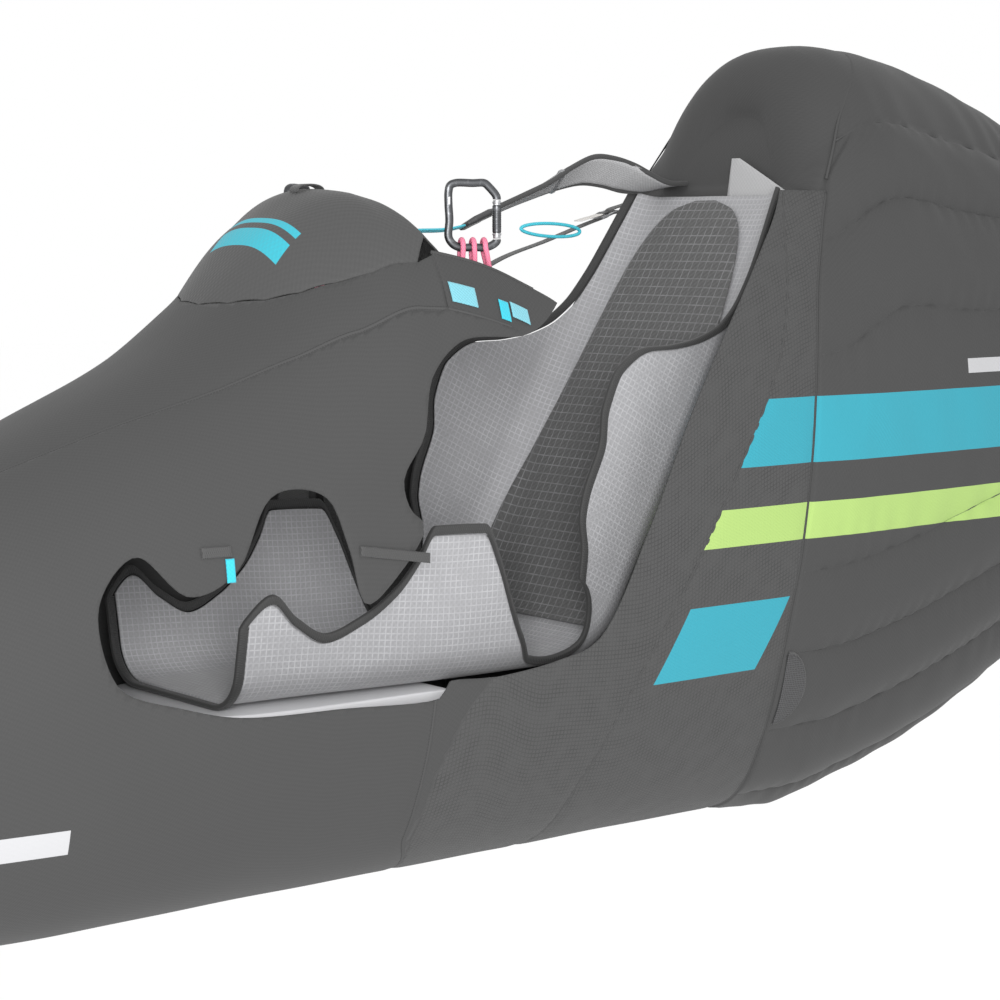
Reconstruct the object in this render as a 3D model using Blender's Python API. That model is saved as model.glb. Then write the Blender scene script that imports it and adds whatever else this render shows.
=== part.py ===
"""Pod harness for paragliding, shown as a cutaway: the cloth cocoon, its tail fairing and the seat inside.

Metres, +Z up. The nose points to -X and the tail to +X. The origin is on the flat of the belly, under the
hip notch of the seat. The near side, at -Y, has a window cut in its wall around the seat.
"""

import math

import bmesh
import bpy
import numpy as np
from mathutils import Vector

# Driving dimensions of the cloth
GAP = 0.0009
CLOTH = 0.002
SEAT_CLOTH = 0.003
WEBBING = 0.0025

# Outer form of the harness, one row for each section along X.
# x, bottom, top, half width, height of the widest point, power of the lower and of the upper curve
HULL_SECTIONS = (
    (-1.080, 0.050, 0.355, 0.130, 0.200, 2.4, 2.4),
    (-1.000, 0.018, 0.400, 0.160, 0.210, 2.4, 2.4),
    (-0.880, 0.001, 0.455, 0.187, 0.235, 2.5, 2.3),
    (-0.760, -0.004, 0.512, 0.208, 0.270, 2.5, 2.3),
    (-0.600, -0.004, 0.580, 0.228, 0.320, 2.6, 2.3),
    (-0.445, -0.004, 0.652, 0.240, 0.370, 2.6, 2.3),
    (-0.350, -0.004, 0.722, 0.245, 0.400, 2.6, 2.3),
    (-0.280, -0.004, 0.785, 0.248, 0.420, 2.6, 2.4),
    (-0.200, -0.004, 0.834, 0.250, 0.430, 2.6, 2.8),
    (-0.120, -0.004, 0.830, 0.252, 0.440, 2.6, 3.3),
    (-0.030, -0.004, 0.795, 0.252, 0.445, 2.6, 3.3),
    (0.100, -0.004, 0.800, 0.252, 0.450, 2.6, 3.0),
    (0.300, -0.004, 0.920, 0.250, 0.460, 2.6, 2.6),
    (0.470, -0.004, 1.012, 0.244, 0.470, 2.6, 2.25),
    (0.600, 0.018, 1.051, 0.238, 0.490, 2.6, 2.60),
    (0.750, 0.052, 1.029, 0.230, 0.520, 2.5, 2.35),
    (0.900, 0.105, 0.986, 0.218, 0.540, 2.4, 2.3),
    (1.050, 0.180, 0.922, 0.198, 0.550, 2.4, 2.3),
    (1.200, 0.248, 0.842, 0.170, 0.550, 2.3, 2.3),
    (1.350, 0.315, 0.755, 0.134, 0.545, 2.2, 2.3),
    (1.480, 0.378, 0.685, 0.092, 0.535, 2.2, 2.2),
    (1.570, 0.445, 0.605, 0.050, 0.528, 2.0, 2.0),
    (1.605, 0.523, 0.531, 0.003, 0.527, 2.0, 2.0),
)

# Seams of the cocoon in side view: height, x
SEAM_HIP = ((0.00, -0.150), (0.031, -0.170), (0.073, -0.186), (0.139, -0.182), (0.182, -0.169),
            (0.229, -0.148), (0.259, -0.122), (0.45, -0.03), (0.72, 0.10))
SEAM_MID = ((0.00, 0.044), (0.044, 0.047), (0.096, 0.054), (0.142, 0.073), (0.192, 0.095), (0.284, 0.146),
            (0.38, 0.207), (0.49, 0.275), (0.577, 0.327), (0.64, 0.358), (0.716, 0.380), (0.80, 0.397),
            (0.85, 0.413))
SEAM_TAIL = ((0.00, 0.395), (0.058, 0.380), (0.135, 0.371), (0.191, 0.372), (0.286, 0.379), (0.378, 0.395),
             (0.469, 0.409), (0.573, 0.419), (0.703, 0.435), (0.80, 0.466), (0.85, 0.488))
HIP_PANEL_TOP = 0.846

# Side seam under the leg cover, as a share of the half width, then the rim of the cockpit: x, height
SEAM_SIDE = ((-1.04, 0.34), (-0.85, 0.36), (-0.675, 0.402), (-0.593, 0.457), (-0.509, 0.527), (-0.426, 0.616),
             (-0.346, 0.71), (-0.263, 0.808), (-0.168, 0.890))
RIM = ((-0.19, 0.773), (-0.148, 0.764), (-0.074, 0.743), (-0.012, 0.714), (0.027, 0.688), (0.075, 0.668),
       (0.15, 0.655), (0.20, 0.668), (0.24, 0.708), (0.28, 0.782), (0.315, 0.850))
RIM_FAR = ((-0.19, 0.765), (-0.148, 0.756), (-0.074, 0.737), (-0.012, 0.712), (0.027, 0.688), (0.075, 0.668),
           (0.15, 0.652), (0.25, 0.632), (0.311, 0.622), (0.346, 0.631), (0.38, 0.653), (0.405, 0.674),
           (0.424, 0.688))
BAND_FRONT = -0.168
BAND_HEIGHT = 0.066

# Plan of the cockpit cover: x, half width. Its front is sewn to the leg cover, its rear is a free tongue
COVER_PLAN = ((-0.370, 0.0), (-0.362, 0.052), (-0.340, 0.098), (-0.312, 0.130), (-0.279, 0.153), (-0.241, 0.175),
              (-0.205, 0.188))
# Greatest height of the cover, which falls away behind the dome: x grown by 0.73 of the half width, height
COVER_FALL = ((-0.40, 0.90), (-0.136, 0.834), (-0.106, 0.826), (-0.075, 0.812), (-0.048, 0.794), (-0.032, 0.780),
              (-0.018, 0.768), (0.0, 0.750), (0.05, 0.700))
TONGUE_PLAN = ((-0.190, 0.192), (-0.165, 0.172), (-0.100, 0.150), (-0.050, 0.115), (-0.030, 0.060), (-0.027, 0.0))

# Foot end of the cocoon
FOOT_CROWN = 0.045

# Front line of the tail fairing: height, x
FAIRING_FRONT = ((0.0, 0.147), (0.24, 0.148), (0.27, 0.158), (0.30, 0.1730), (0.35, 0.1998), (0.45, 0.2530),
                 (0.60, 0.3338), (0.66, 0.374), (0.72, 0.407), (0.78, 0.436), (0.842, 0.4646), (0.90, 0.470),
                 (0.96, 0.476), (1.03, 0.490))
FAIRING_CORNER = 0.014
HEAD_CORNER = 0.075
TAIL_TIP = (1.605, 0.527)
REBATE = 0.0015
# Angles of the sewn seams between the air cells, from the belly round to the crest, as shares of a half turn
CELL_SEAMS = (0.0, 0.14, 0.28, 0.372, 0.447, 0.585, 0.68, 0.77, 1.23)
CREST_SHARE = 0.45
CELL_ROWS = 3
CELL_CROWN = 0.013

# Seat trough. Its centre line is a floor, an arc and a straight back, leaning from the vertical by BACK_LEAN
SEAT_FRONT = -0.415
SEAT_FLOOR = 0.243
SEAT_ARC_START = 0.064
SEAT_ARC_RADIUS = 0.120
BACK_LEAN = math.radians(28.4)
BACK_LENGTH = 0.606
SEAT_CORNER = 0.055
# Height of the seat's side above its centre line: distance along the line from the front, height
SEAT_SIDE = ((-0.006, 0.096), (0.04, 0.136), (0.075, 0.106), (0.118, 0.083), (0.165, 0.1), (0.21, 0.132),
             (0.238, 0.168), (0.258, 0.201), (0.335, 0.198), (0.358, 0.16), (0.38, 0.104), (0.4, 0.056),
             (0.418, 0.026), (0.45, 0.02), (0.496, 0.034), (0.529, 0.062), (0.559, 0.084), (0.599, 0.1073),
             (0.644, 0.128), (0.679, 0.153), (0.714, 0.163), (0.764, 0.168), (0.814, 0.188),
             (0.854, 0.192), (0.886, 0.18), (0.904, 0.166), (0.934, 0.118), (0.964, 0.08), (0.999, 0.052),
             (1.044, 0.036), (1.104, 0.029), (1.214, 0.026))
# Half width of the seat at its corner and flare of its side: distance along the line, half width, flare
SEAT_WIDTH = ((0.0, 0.143, 0.2), (0.12, 0.15, 0.18), (0.3, 0.165, 0.1), (0.45, 0.168, 0.06),
              (0.614, 0.17, 0.06), (0.914, 0.176, 0.06), (1.064, 0.172, 0.05), (1.214, 0.156, 0.0))
BINDING = (0.012, 0.007)

# Dark pad on the seat's back: distance along the line, half width
BACK_PAD = ((0.574, 0.12), (0.589, 0.15), (0.634, 0.162), (0.714, 0.16), (0.814, 0.148), (0.964, 0.128),
            (1.094, 0.108), (1.154, 0.088), (1.189, 0.06), (1.204, 0.02))
PAD = 0.0025
PAD_LIFT = 0.0042

# Window in the near wall, in side view: x, height. Its sides run back along the sight line by WINDOW_SLANT
WINDOW = ((-0.638, 0.319), (-0.654, 0.397), (-0.611, 0.444), (-0.539, 0.397), (-0.479, 0.42), (-0.433, 0.50),
          (-0.361, 0.496), (-0.328, 0.435), (-0.305, 0.370), (-0.266, 0.395), (-0.222, 0.454), (-0.243, 0.475),
          (-0.252, 0.510), (-0.223, 0.557), (-0.211, 0.627), (-0.169, 0.670), (-0.071, 0.675), (-0.038, 0.694),
          (0.011, 0.766), (0.091, 0.90), (0.353, 0.90), (0.353, 0.839), (0.307, 0.753), (0.239, 0.644),
          (0.189, 0.558), (0.123, 0.425), (0.043, 0.295), (-0.021, 0.275), (-0.113, 0.265), (-0.193, 0.265),
          (-0.193, 0.251), (-0.343, 0.252), (-0.478, 0.258), (-0.551, 0.276), (-0.618, 0.298))
WINDOW_PLANE = -0.25
WINDOW_SLANT = 0.787

# Board under the seat: x, half width, then bottom and top height
BOARD_PLAN = ((-0.462, 0.034), (-0.457, 0.068), (-0.441, 0.103), (-0.414, 0.128), (-0.370, 0.141),
              (-0.300, 0.146), (-0.110, 0.148))
BOARD_Z = (0.2210, 0.2371)

# Carabiner: middle of its outer frame, outer size and bar
CARABINER_MID = (-0.103, 0.185, 0.8105)
CARABINER_TURN_DEG = 25.0
CARABINER_SIZE = (0.068, 0.085)
CARABINER_BAR = 0.0095


def curve(table, t):
    """Smooth curve through the rows of a table, with slopes held so that it never overshoots."""
    rows = np.asarray(table, float)
    x = rows[:, 0]
    t = np.clip(np.asarray(t, float), x[0], x[-1])
    step = np.diff(x)
    k = np.clip(np.searchsorted(x, t, side="right") - 1, 0, len(x) - 2)
    u = (t - x[k]) / step[k]
    out = []
    for column in range(1, rows.shape[1]):
        y = rows[:, column]
        slope = np.diff(y) / step
        tangent = np.zeros(len(x))
        tangent[0] = slope[0]
        tangent[-1] = slope[-1]
        same = slope[:-1] * slope[1:] > 0
        mean = 2 * slope[:-1] * slope[1:] / np.where(same, slope[:-1] + slope[1:], 1.0)
        tangent[1:-1] = np.where(same, mean, 0.0)
        a = 2 * u ** 3 - 3 * u ** 2 + 1
        b = u ** 3 - 2 * u ** 2 + u
        out.append(a * y[k] + b * step[k] * tangent[k] + (1 - a) * y[k + 1]
                   + (u ** 3 - u ** 2) * step[k] * tangent[k + 1])
    return out[0] if len(out) == 1 else out


def hull(x, turn):
    """Point of the outer form. turn runs from 0 at the belly up the near side to pi at the crest."""
    x = np.asarray(x, float)
    turn = np.asarray(turn, float)
    foot = HULL_SECTIONS[0][0]
    low, high, half, waist, power_low, power_high = curve(HULL_SECTIONS, x)
    q = np.clip((foot - x) / FOOT_CROWN, 0, 1)
    shrink = (1 - q ** 2.4) ** (1 / 2.4)
    c = np.cos(turn)
    s = np.sin(turn)
    power = np.where(c > 0, power_low, power_high)
    reach = np.where(c > 0, waist - low, high - waist)
    y = -half * shrink * np.sign(s) * np.abs(s) ** (2 / power)
    z = waist - reach * shrink * np.sign(c) * np.abs(c) ** (2 / power)
    return np.stack([x + 0 * y, y, np.maximum(z, 0.0)], -1)


def outward(form, a, b, step=0.002):
    """Unit normals of a surface form(a, b), by differences, pointing out of the harness."""
    da = form(a + step, b) - form(a - step, b)
    db = form(a, b + step) - form(a, b - step)
    n = np.cross(da, db)
    return n / np.maximum(np.linalg.norm(n, axis=-1, keepdims=True), 1e-12)


def mesh_object(name, verts, faces):
    """One closed mesh, with its faces turned outwards."""
    mesh = bpy.data.meshes.new(name)
    mesh.from_pydata([tuple(map(float, v)) for v in verts], [], [tuple(f) for f in faces])
    work = bmesh.new()
    work.from_mesh(mesh)
    bmesh.ops.remove_doubles(work, verts=work.verts, dist=0.00002)
    bmesh.ops.dissolve_degenerate(work, edges=work.edges, dist=0.00001)
    bmesh.ops.recalc_face_normals(work, faces=work.faces)
    work.to_mesh(mesh)
    work.free()
    obj = bpy.data.objects.new(name, mesh)
    bpy.context.collection.objects.link(obj)
    return obj


def slab(name, outer, inner, wrap=False, pole=False):
    """Closed sheet between two grids of points. wrap joins the columns, pole closes the first row."""
    rows, columns = outer.shape[:2]
    count = rows * columns
    verts = np.concatenate([outer.reshape(-1, 3), inner.reshape(-1, 3)])
    faces = []
    last = columns if wrap else columns - 1
    for i in range(rows - 1):
        for j in range(last):
            k = (j + 1) % columns
            quad = (i * columns + j, i * columns + k, (i + 1) * columns + k, (i + 1) * columns + j)
            faces.append(quad)
            faces.append(tuple(count + q for q in reversed(quad)))
    for i in ((rows - 1,) if pole else (0, rows - 1)):
        for j in range(last):
            k = (j + 1) % columns
            a, b = i * columns + j, i * columns + k
            faces.append((a, b, count + b, count + a) if i else (b, a, count + a, count + b))
    if not wrap:
        for j in (0, columns - 1):
            for i in range(rows - 1):
                a, b = i * columns + j, (i + 1) * columns + j
                faces.append((b, a, count + a, count + b) if j else (a, b, count + b, count + a))
    return mesh_object(name, verts, faces)


def prism(name, outline, axis, low, high, slant=0.0, plane=0.0):
    """Closed prism from an outline. axis is Y for a side view or Z for a plan, slant shifts x along Y."""
    verts = []
    for level in (low, high):
        for p, q in outline:
            if axis == "Y":
                verts.append((p + slant * (level - plane), level, q))
            else:
                verts.append((p, q, level))
    n = len(outline)
    faces = [tuple(range(n)), tuple(range(2 * n - 1, n - 1, -1))]
    for i in range(n):
        j = (i + 1) % n
        faces.append((i, j, n + j, n + i))
    obj = mesh_object(name, verts, faces)
    obj.hide_render = True
    obj.display_type = "WIRE"
    return obj


def shape_by(obj, cutter, operation):
    """Exact boolean of an object with a cutter, applied at once."""
    step = obj.modifiers.new("cut", "BOOLEAN")
    step.operation = operation
    step.solver = "EXACT"
    step.object = cutter
    graph = bpy.context.evaluated_depsgraph_get()
    done = bpy.data.meshes.new_from_object(obj.evaluated_get(graph))
    obj.modifiers.clear()
    old = obj.data
    obj.data = done
    bpy.data.meshes.remove(old)
    work = bmesh.new()
    work.from_mesh(obj.data)
    bmesh.ops.remove_doubles(work, verts=work.verts, dist=0.00002)
    bmesh.ops.dissolve_degenerate(work, edges=work.edges, dist=0.00001)
    work.to_mesh(obj.data)
    work.free()


def piece_of(source, name, keep, drop):
    """Copy of a sheet kept inside every prism of keep and outside every prism of drop."""
    obj = bpy.data.objects.new(name, source.data.copy())
    bpy.context.collection.objects.link(obj)
    for cutter in keep:
        shape_by(obj, cutter, "INTERSECT")
    for cutter in drop:
        shape_by(obj, cutter, "DIFFERENCE")
    return obj


def tube(name, path, radius, sides=6, ends=1.0, closed=False):
    """Round bar along a path. ends scales the end rings."""
    path = [Vector(p) for p in path]
    n = len(path)
    verts = []
    faces = []
    side = None
    for i, p in enumerate(path):
        before = path[i - 1] if i or closed else p
        after = path[(i + 1) % n] if i < n - 1 or closed else p
        along = (after - before).normalized()
        if side is None:
            side = along.cross(Vector((0.13, 0.98, 0.1))).normalized()
        side = (side - along * side.dot(along)).normalized()
        up = along.cross(side)
        r = radius * (ends if not closed and i in (0, n - 1) else 1.0)
        for k in range(sides):
            a = 2 * math.pi * (k + 0.5) / sides
            verts.append(p + side * (r * math.cos(a)) + up * (r * math.sin(a)))
    for i in range(n if closed else n - 1):
        j = (i + 1) % n
        for k in range(sides):
            m = (k + 1) % sides
            faces.append((i * sides + k, i * sides + m, j * sides + m, j * sides + k))
    if not closed:
        faces.append(tuple(range(sides - 1, -1, -1)))
        faces.append(tuple(range((n - 1) * sides, n * sides)))
    return mesh_object(name, verts, faces)


def ribbon(name, path, across, width, thickness):
    """Flat strap along a path. across gives the direction of its width at each point or once for all."""
    path = [Vector(p) for p in path]
    n = len(path)
    verts = []
    for i, p in enumerate(path):
        along = (path[min(i + 1, n - 1)] - path[max(i - 1, 0)]).normalized()
        side = Vector(across[i] if isinstance(across[0], (tuple, list)) else across)
        side = (side - along * side.dot(along)).normalized()
        up = side.cross(along)
        w = width[i] if isinstance(width, (tuple, list)) else width
        t = thickness[i] if isinstance(thickness, (tuple, list)) else thickness
        for a, b in ((-1, -1), (1, -1), (1, 1), (-1, 1)):
            verts.append(p + side * (a * w / 2) + up * (b * t / 2))
    faces = [(3, 2, 1, 0), tuple(range(4 * n - 4, 4 * n))]
    for i in range(n - 1):
        for k in range(4):
            m = (k + 1) % 4
            faces.append((4 * i + k, 4 * i + m, 4 * i + 4 + m, 4 * i + 4 + k))
    return mesh_object(name, verts, faces)


def seam_outline(front, rear, top):
    """Side-view outline between two seam curves given as height, x, from under the belly to top."""
    levels = np.linspace(0.0, 0.90, 26)
    heights = np.concatenate([[-0.02], levels[levels < top - 0.004], [top]])
    sides = []
    for seam in (front, rear):
        xs = np.interp(heights, levels, curve(seam, levels))
        sides.append([(float(x), float(h)) for x, h in zip(xs, heights)])
    return sides[0] + sides[1][::-1]


def shifted(table, dx):
    """Seam table moved along X."""
    return tuple((h, x + dx) for h, x in table)


def rim_outline(table, drop, end):
    """Side-view outline of everything above a rim, or drop below it, as far back as end."""
    low = [(x, z - drop) for x, z in table]
    return low + [(end, low[-1][1]), (end, 1.3), (-0.19, 1.3)]


def band_outline(table, drop, end):
    """Side-view outline of everything above the lower edge of a rim band, as far back as end."""
    front = BAND_FRONT - GAP / 2
    return rim_outline(table, drop, end)[1:-1] + [(front, 1.3), (front, float(curve(table, front)) - drop)]


def band_strip(table, drop):
    """Side-view outline of a rim band, between its rim and its lower edge."""
    x = [BAND_FRONT + GAP / 2] + [a for a, b in table if a > BAND_FRONT + 0.01]
    upper = [(float(a), float(b)) for a, b in zip(x, curve(table, np.array(x)))]
    return [(a, b - drop) for a, b in upper] + upper[::-1]


def cover_outline(grow):
    """Plan outline of the hole for the cockpit cover, grown by a clearance."""
    side = [(x - grow, h + grow if h else 0.0) for x, h in COVER_PLAN]
    side += [(-0.190 - grow, 0.192 + grow), (-0.160, 0.192 + grow)]
    return side + [(x, -h) for x, h in side[:0:-1]]


def cover_point(x, y):
    """Cockpit cover: the crest of the form, raised in the middle and drooping at the tongue."""
    low, high, half, waist, power_low, power_high = curve(HULL_SECTIONS, x)
    reach = 1 - np.abs(np.clip(y / half, -1, 1)) ** power_high
    z = waist + (high - waist) * reach ** (1 / power_high)
    front = curve(COVER_PLAN, np.minimum(x, -0.205))
    raised = curve(((-0.370, 0.0), (-0.34, 0.016), (-0.30, 0.025), (-0.25, 0.018), (-0.19, 0.006),
                    (-0.12, 0.0), (-0.02, 0.0)), x)
    droop = curve(((-0.425, 0.0), (-0.19, 0.0), (-0.136, -0.004), (-0.075, -0.018), (-0.027, -0.042)), x)
    share = np.clip(np.abs(y) / np.maximum(front, 0.02), 0, 1)
    z = np.minimum(z + raised * (1 - share ** 2) + droop, curve(COVER_FALL, x + 0.73 * np.abs(y)))
    return np.stack([x + 0 * y, y + 0 * x, z], -1)


def seat_line(s):
    """Centre line of the seat at distance s from its front: x, z and the slope angle there."""
    s = np.asarray(s, float)
    floor = SEAT_ARC_START - SEAT_FRONT
    bend = math.pi / 2 - BACK_LEAN
    arc = SEAT_ARC_RADIUS * bend
    a = np.clip((s - floor) / SEAT_ARC_RADIUS, 0, bend)
    rest = np.maximum(s - floor - arc, 0)
    x = SEAT_FRONT + np.minimum(s, floor) + SEAT_ARC_RADIUS * np.sin(a) + rest * math.cos(bend)
    z = SEAT_FLOOR + SEAT_ARC_RADIUS * (1 - np.cos(a)) + rest * math.sin(bend)
    return x, z, a


def seat_reach(s):
    """Length of the seat's section from the middle to the edge at distance s."""
    half, flare = curve(SEAT_WIDTH, s)
    rise = curve(SEAT_SIDE, s)
    wall = math.pi / 2 - np.arctan(flare)
    top = SEAT_CORNER * (1 - np.cos(wall))
    short = np.arccos(np.clip(1 - rise / SEAT_CORNER, -1, 1)) * SEAT_CORNER
    full = SEAT_CORNER * wall + (rise - top) / np.sin(wall)
    return half - SEAT_CORNER + np.where(rise < top, short, full)


def seat_point(s, across, off):
    """Point of the seat: across is the length from the middle, off is out from the seating face."""
    s = np.asarray(s, float)
    across = np.asarray(across, float)
    x, z, a = seat_line(s)
    half, flare = curve(SEAT_WIDTH, s)
    wall = math.pi / 2 - np.arctan(flare)
    flat = half - SEAT_CORNER
    length = np.abs(across)
    turn = np.clip((length - flat) / SEAT_CORNER, 0, wall)
    rest = np.maximum(length - flat - SEAT_CORNER * wall, 0)
    side = np.minimum(length, flat) + SEAT_CORNER * np.sin(turn) + rest * np.cos(wall)
    rise = SEAT_CORNER * (1 - np.cos(turn)) + rest * np.sin(wall)
    side = side + off * np.sin(turn)
    rise = rise - off * np.cos(turn)
    return np.stack([x - rise * np.sin(a), np.sign(across) * side, z + rise * np.cos(a)], -1)


def hull_turn(x, z):
    """Turn of the near side of the outer form at a height."""
    low, high, half, waist, power_low, power_high = curve(HULL_SECTIONS, x)
    up = z > waist
    share = np.clip(np.where(up, (z - waist) / (high - waist), (waist - z) / (waist - low)), 0, 1)
    c = share ** (np.where(up, power_high, power_low) / 2)
    return np.where(up, math.pi - np.arccos(c), np.arccos(c))


def fairing_point(x, turn):
    """Outer face of the tail fairing: the outer form with a crown on each air cell."""
    point = hull(x, turn)
    normal = outward(hull, x, turn)
    share = np.abs(((turn / math.pi + 1) % 2) - 1)
    seams = np.array(CELL_SEAMS)
    k = np.clip(np.searchsorted(seams, share, side="right") - 1, 0, len(seams) - 2)
    t = (share - seams[k]) / (seams[k + 1] - seams[k])
    start = np.maximum(curve(SEAM_TAIL, point[..., 2]), curve(FAIRING_FRONT, point[..., 2]) + 0.020)
    fade = np.clip((x - start) / 0.09, 0, 1) ** 0.6 * np.clip((1.60 - x) / 0.30, 0, 1) ** 0.7
    part = np.where(k == len(seams) - 2, CREST_SHARE, 1.0)
    crown = CELL_CROWN * np.abs(np.sin(math.pi * t)) ** 0.75 * fade * part
    point = point + normal * crown[..., None]
    point[..., 2] = np.maximum(point[..., 2], 0.0)
    return point


def build_fairing():
    """Filled tail fairing: round front edge, a rebate for the side panels, air cells and a pointed tail."""
    turns = []
    for a, b in zip(CELL_SEAMS[:-2], CELL_SEAMS[1:-1]):
        turns += [a + (b - a) * i / CELL_ROWS for i in range(CELL_ROWS)]
    turns = np.array(turns + [0.77, 0.815, 0.86, 0.905, 0.95, 1.0])
    turns = np.concatenate([turns, 2 - turns[-2:0:-1]]) * math.pi
    columns = len(turns)
    half = columns // 2
    height = hull(np.full(columns, 0.4), turns)[:, 2]
    for _ in range(60):
        height = 0.5 * height + 0.5 * hull(curve(FAIRING_FRONT, height), turns)[:, 2]
    first = curve(FAIRING_FRONT, height)
    blend = np.clip((height - 0.842) / 0.055, 0, 1)
    blend = blend * blend * (3 - 2 * blend)
    r = FAIRING_CORNER + (HEAD_CORNER - FAIRING_CORNER) * blend
    sunk = (CLOTH + REBATE) * (1 - blend)
    step = np.full(columns, 0.4)
    height = hull(step, turns)[:, 2]
    for _ in range(60):
        height = 0.5 * height + 0.5 * hull(curve(SEAM_TAIL, height), turns)[:, 2]
    step = np.maximum(curve(SEAM_TAIL, height), first + r + 0.006)
    rings = []
    for deg in (0, 22, 45, 67, 90):
        a = math.radians(deg)
        x = first + r * (1 - math.cos(a))
        rings.append(hull(x, turns) - outward(hull, x, turns) * (sunk + r * (1 - math.sin(a)))[:, None])
    for share in (0.5, 1.0):
        x = first + r + (step + 0.0016 - first - r) * share
        rings.append(hull(x, turns) - outward(hull, x, turns) * sunk[:, None])
    for ring in rings:
        ring[:, 2] = np.maximum(ring[:, 2], CLOTH + REBATE)
    tip = TAIL_TIP[0]
    for share in (0.0, 0.022, 0.055, 0.11, 0.20, 0.31, 0.43, 0.55, 0.67, 0.78, 0.875, 0.945, 0.985, 1.0):
        rings.append(fairing_point(step + 0.0050 + (tip - step - 0.0050) * share, turns))
    rings[-1][:] = (tip, 0.0, TAIL_TIP[1])
    verts = np.concatenate(rings)
    faces = []
    for i in range(len(rings) - 1):
        for j in range(columns):
            k = (j + 1) % columns
            faces.append((i * columns + j, i * columns + k, (i + 1) * columns + k, (i + 1) * columns + j))
    for j in range(half):
        faces.append(((columns - j) % columns, (columns - j - 1) % columns, j + 1, j))
    clean = [tuple(dict.fromkeys(f)) for f in faces]
    return mesh_object("tail_fairing", verts, clean)


def build_panels():
    """Cut sheets of the cocoon, all taken from one shell so that their edges meet across the seams."""
    foot = HULL_SECTIONS[0][0]
    xs = [foot - FOOT_CROWN * q for q in (1.0, 0.97, 0.86, 0.66, 0.36)]
    xs += [row[0] for row in HULL_SECTIONS if row[0] <= 0.30] + [-0.16, -0.075, 0.03, 0.20, 0.38, 0.4635, 0.500]
    xs = sorted(xs)
    turns = np.arange(48) * math.pi / 24
    x, turn = np.meshgrid(np.array(xs), turns, indexing="ij")
    outer = hull(x, turn)
    inner = outer - outward(hull, x, turn) * CLOTH
    inner[0] = outer[0] + (CLOTH, 0, 0)
    shell = slab("shell", outer, inner, wrap=True, pole=True)

    g = GAP / 2
    window = prism("cut_window", WINDOW, "Y", -0.40, -0.160, WINDOW_SLANT, WINDOW_PLANE)
    rim = prism("cut_rim", rim_outline(RIM, 0.0, RIM[-1][0] + GAP), "Y", -0.5, 0.5)
    under = BAND_HEIGHT + g
    rim_grown = prism("cut_rim_grown", band_outline(RIM, under, RIM[-1][0] + GAP), "Y", -0.5, 0.5)
    rim_far = prism("cut_rim_far", band_outline(RIM_FAR, under, 0.52), "Y", 0.0, 0.5)
    cover = prism("cut_cover", cover_outline(0.0010), "Z", 0.5, 1.3)
    top_x = np.linspace(-1.04, BAND_FRONT - g, 20)
    top_half = curve(SEAM_SIDE, top_x) * curve(HULL_SECTIONS, top_x)[2]
    plans = []
    for grow, end in ((-g, 0.0002), (g, 0.05)):
        near = [(float(a), -float(b) - grow) for a, b in zip(top_x, top_half)]
        near[0] = (near[0][0] - grow, near[0][1])
        near.append((near[-1][0] + end, near[-1][1]))
        plans.append(near + [(a, -b) for a, b in near[::-1]])
    top_keep = prism("cut_top_keep", plans[0], "Z", 0.25, 1.3)
    top_drop = prism("cut_top_drop", plans[1], "Z", 0.25, 1.3)

    nose = ((0.0, -1.3), (0.85, -1.3))
    body_side = prism("cut_body", seam_outline(nose, shifted(SEAM_HIP, -g), 0.76), "Y", -0.5, 0.5)
    hip_side = prism("cut_hip", seam_outline(shifted(SEAM_HIP, g), shifted(SEAM_MID, -g), HIP_PANEL_TOP),
                     "Y", -0.5, 0.5)
    flank_side = prism("cut_flank", seam_outline(shifted(SEAM_MID, g), shifted(SEAM_TAIL, -g), HIP_PANEL_TOP),
                       "Y", -0.5, 0.5)
    near_band = prism("cut_band_near", band_strip(RIM, BAND_HEIGHT - g), "Y", -0.5, -0.05)
    far_band = prism("cut_band_far", band_strip(RIM_FAR, BAND_HEIGHT - g), "Y", 0.05, 0.5)

    cutters = [window, rim, rim_grown, rim_far, cover, top_keep, top_drop, body_side, hip_side, flank_side,
               near_band, far_band]
    made = [
        piece_of(shell, "leg_cover", [top_keep], [cover, rim]),
        piece_of(shell, "pod_body", [body_side], [top_drop, rim_grown, rim_far, window]),
        piece_of(shell, "hip_panel", [hip_side], [rim_grown, rim_far, window]),
        piece_of(shell, "flank_panel", [flank_side], [rim_grown, rim_far]),
        piece_of(shell, "rim_band_near", [near_band], [window]),
        piece_of(shell, "rim_band_far", [far_band], []),
    ]
    for obj in cutters + [shell]:
        bpy.data.objects.remove(obj)
    return made


def build_cover():
    """Cockpit cover with its tongue, a crowned sheet in the hole of the leg cover."""
    plan = list(COVER_PLAN) + list(TONGUE_PLAN)
    rows = []
    for x, half in plan:
        y = np.linspace(-max(half, 0.002), max(half, 0.002), 15)
        rows.append(cover_point(np.full(15, x), y))
    outer = np.array(rows)
    down = np.array([0.25, 0, -1.0])
    n = np.zeros_like(outer)
    da = np.gradient(outer, axis=0)
    db = np.gradient(outer, axis=1)
    n = np.cross(da, db)
    n /= np.maximum(np.linalg.norm(n, axis=-1, keepdims=True), 1e-12)
    n = np.where((n @ down)[..., None] > 0, -n, n)
    return slab("cockpit_cover", outer, outer - n * CLOTH)


def seat_rows():
    """Distances along the seat where its side changes."""
    rows = [row[0] for row in SEAT_SIDE[1:]] + [0.465, 0.498, 0.530, 0.562, 0.575, 0.605]
    return np.sort(np.array(rows))


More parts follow.
